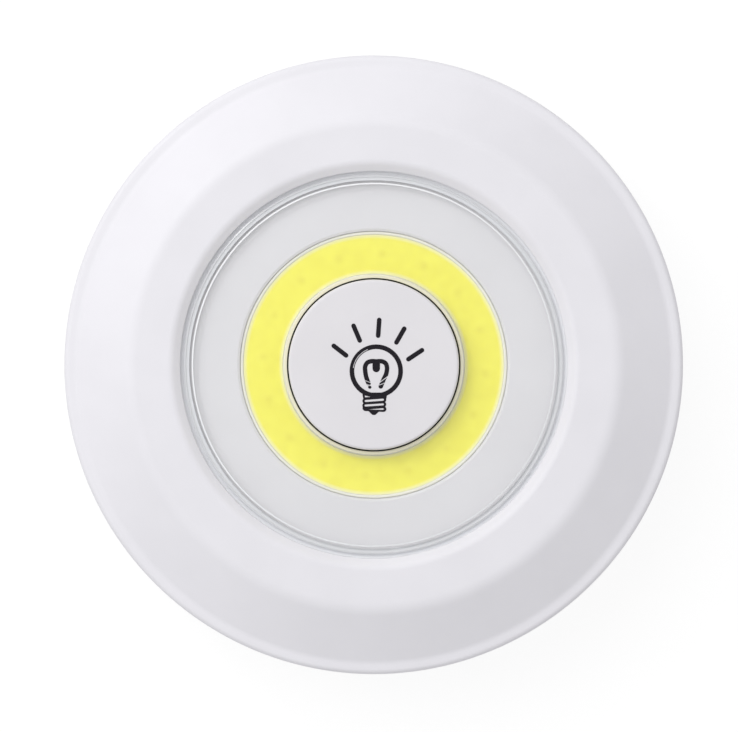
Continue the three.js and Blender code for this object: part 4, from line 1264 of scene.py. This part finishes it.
def smooth_shading():
    """A node group that shades a carried-over node smooth, but for its sharp edges."""
    group = bpy.data.node_groups.new("smooth_shading", "GeometryNodeTree")
    for direction in ("INPUT", "OUTPUT"):
        group.interface.new_socket("Geometry", in_out=direction, socket_type="NodeSocketGeometry")
    start = node(group, "NodeGroupInput")
    links = {"Geometry": start.outputs[0], "Distance": MERGE_DISTANCE}
    merged = node(group, "GeometryNodeMergeByDistance", links)
    faces = node(group, "GeometryNodeSetShadeSmooth", {"Geometry": merged.outputs[0]})
    angle = node(group, "GeometryNodeInputMeshEdgeAngle").outputs["Unsigned Angle"]
    compare = node(group, "FunctionNodeCompare", {0: angle, 1: SHARP_ANGLE}, operation="GREATER_THAN")
    links = {"Geometry": faces.outputs[0], "Selection": compare.outputs[0], "Shade Smooth": False}
    edges = node(group, "GeometryNodeSetShadeSmooth", links, domain="EDGE")
    node(group, "NodeGroupOutput", {0: edges.outputs[0]})
    return group


def soften(piece, edged):
    if edged:
        bevel = piece.modifiers.new("Edges", "BEVEL")
        bevel.width = SOFT_EDGE * MM
        bevel.segments = 2
        bevel.limit_method = "ANGLE"
        bevel.angle_limit = SHARP_ANGLE
    piece.modifiers.new("Shading", "NODES").node_group = SHADING


SHADING = smooth_shading()
for row in frame["record"]["subparts"]:
    cad_node = frame["nodes"][row["node"]]
    if not cad_node.hide_render:
        finish = NODE_FINISHES.get(row["node"], FINISHES[row["material_slot"]])
        cad_node.data.materials.clear()
        cad_node.data.materials.append(finish)
        soften(cad_node, row["material_slot"] in SOFT_EDGED)


# Floor, light and camera

FRAME_WIDTH = 738
OUTLINE_CENTRE = (373.7, 364.8)
OUTLINE_RADIUS = 309.5
IMAGE_CENTRE = (369.0, 366.0)
CAMERA_DISTANCE = 1000.0
SENSOR = 36.0
OUTLINE_HEIGHT = 19.5
AMBIENT = 0.6
LAMP_DISTANCE = 600.0
LAMP_AZIMUTH = math.radians(135)
KEY_POWER = 1.95
KEY_SIZE = 700.0
KEY_TILT = math.radians(37)
GLINT_POWER = 0.22
GLINT_SIZE = 80.0
GLINT_TILT = math.radians(44)


def make_camera():
    """Straight above the light, with its outline where the photograph has it."""
    scale = BODY_RADIUS / OUTLINE_RADIUS
    data = bpy.data.cameras.new("camera")
    data.sensor_width = SENSOR
    data.lens = SENSOR * CAMERA_DISTANCE / (scale * FRAME_WIDTH)
    data.clip_start, data.clip_end = 0.01, 20
    camera = new_object("camera", data)
    x = -(OUTLINE_CENTRE[0] - IMAGE_CENTRE[0]) * scale
    y = (OUTLINE_CENTRE[1] - IMAGE_CENTRE[1]) * scale
    camera.location = (x * MM, y * MM, (OUTLINE_HEIGHT + CAMERA_DISTANCE) * MM)
    bpy.context.scene.camera = camera


def make_lamp(name, power, size, tilt, mirrored):
    """A round lamp at the upper left, which glossy faces mirror or don't."""
    data = bpy.data.lights.new(name, "AREA")
    data.shape = "DISK"
    data.size = size * MM
    data.energy = power
    lamp = new_object(name, data)
    direction = Vector((*polar(math.sin(tilt), LAMP_AZIMUTH), math.cos(tilt)))
    lamp.location = direction * LAMP_DISTANCE * MM
    lamp.rotation_mode = "QUATERNION"
    lamp.rotation_quaternion = direction.to_track_quat("Z", "Y")
    lamp.visible_glossy = mirrored


def seen_directly(tree):
    """1 for what the camera sees itself, in a mirror or through glass, and 0 for light on a surface."""
    path = node(tree, "LightPath").outputs
    mirrored = calc("MAXIMUM", path["Is Glossy Ray"], path["Is Transmission Ray"])
    unlit = calc("LESS_THAN", path["Diffuse Depth"], 0.5)
    return calc("MAXIMUM", calc("MULTIPLY", mirrored, unlit), path["Is Camera Ray"])


def make_world():
    world = bpy.data.worlds.new("studio")
    world.use_nodes = True
    tree = world.node_tree
    tree.nodes.clear()
    ambient, white = [
        node(tree, "Background", {"Color": (1, 1, 1, 1), "Strength": strength}).outputs[0]
        for strength in (AMBIENT, 1.0)
    ]
    node(tree, "OutputWorld", {"Surface": mixed(seen_directly(tree), ambient, white)})
    bpy.context.scene.world = world


FLOOR_SIZE = 8.0
FLOOR_DROP = 0.05
FLOOR_GLOW = 0.85
FLOOR_SHADE = 0.2
FLOOR_NEAR = 0.07
FLOOR_FAR = 0.3


def make_floor():
    """A pale floor that shows white, with the light's soft shadow, and is clear from below."""
    work = bmesh.new()
    bmesh.ops.create_grid(work, x_segments=8, y_segments=8, size=FLOOR_SIZE / 2)
    bmesh.ops.translate(work, verts=work.verts, vec=(0, 0, -FLOOR_DROP * MM))
    floor = new_object("floor", new_mesh("floor", work))
    made, shader, place = material("pale_floor", (0.8, 0.8, 0.8), 0.9)
    tree = made.node_tree
    tree.nodes.remove(shader)
    shade = node(tree, "BsdfDiffuse", {"Color": (FLOOR_SHADE,) * 3 + (1,)}).outputs[0]
    strength = ranged(length_of(place), FLOOR_NEAR, FLOOR_FAR, FLOOR_GLOW, 1)
    glow = node(tree, "Emission", {"Color": (1, 1, 1, 1), "Strength": strength}).outputs[0]
    shown = node(tree, "AddShader", {0: shade, 1: glow}).outputs[0]
    clear = node(tree, "BsdfTransparent").outputs[0]
    above = mixed(seen_directly(tree), clear, shown)
    below = node(tree, "NewGeometry").outputs["Backfacing"]
    connect(tree.nodes["Material Output"], {"Surface": mixed(below, above, clear)})
    floor.data.materials.append(made)


make_camera()
make_lamp("key", KEY_POWER, KEY_SIZE, KEY_TILT, False)
make_lamp("glint", GLINT_POWER, GLINT_SIZE, GLINT_TILT, True)
make_world()
make_floor()
bpy.context.scene.view_settings.view_transform = "Standard"
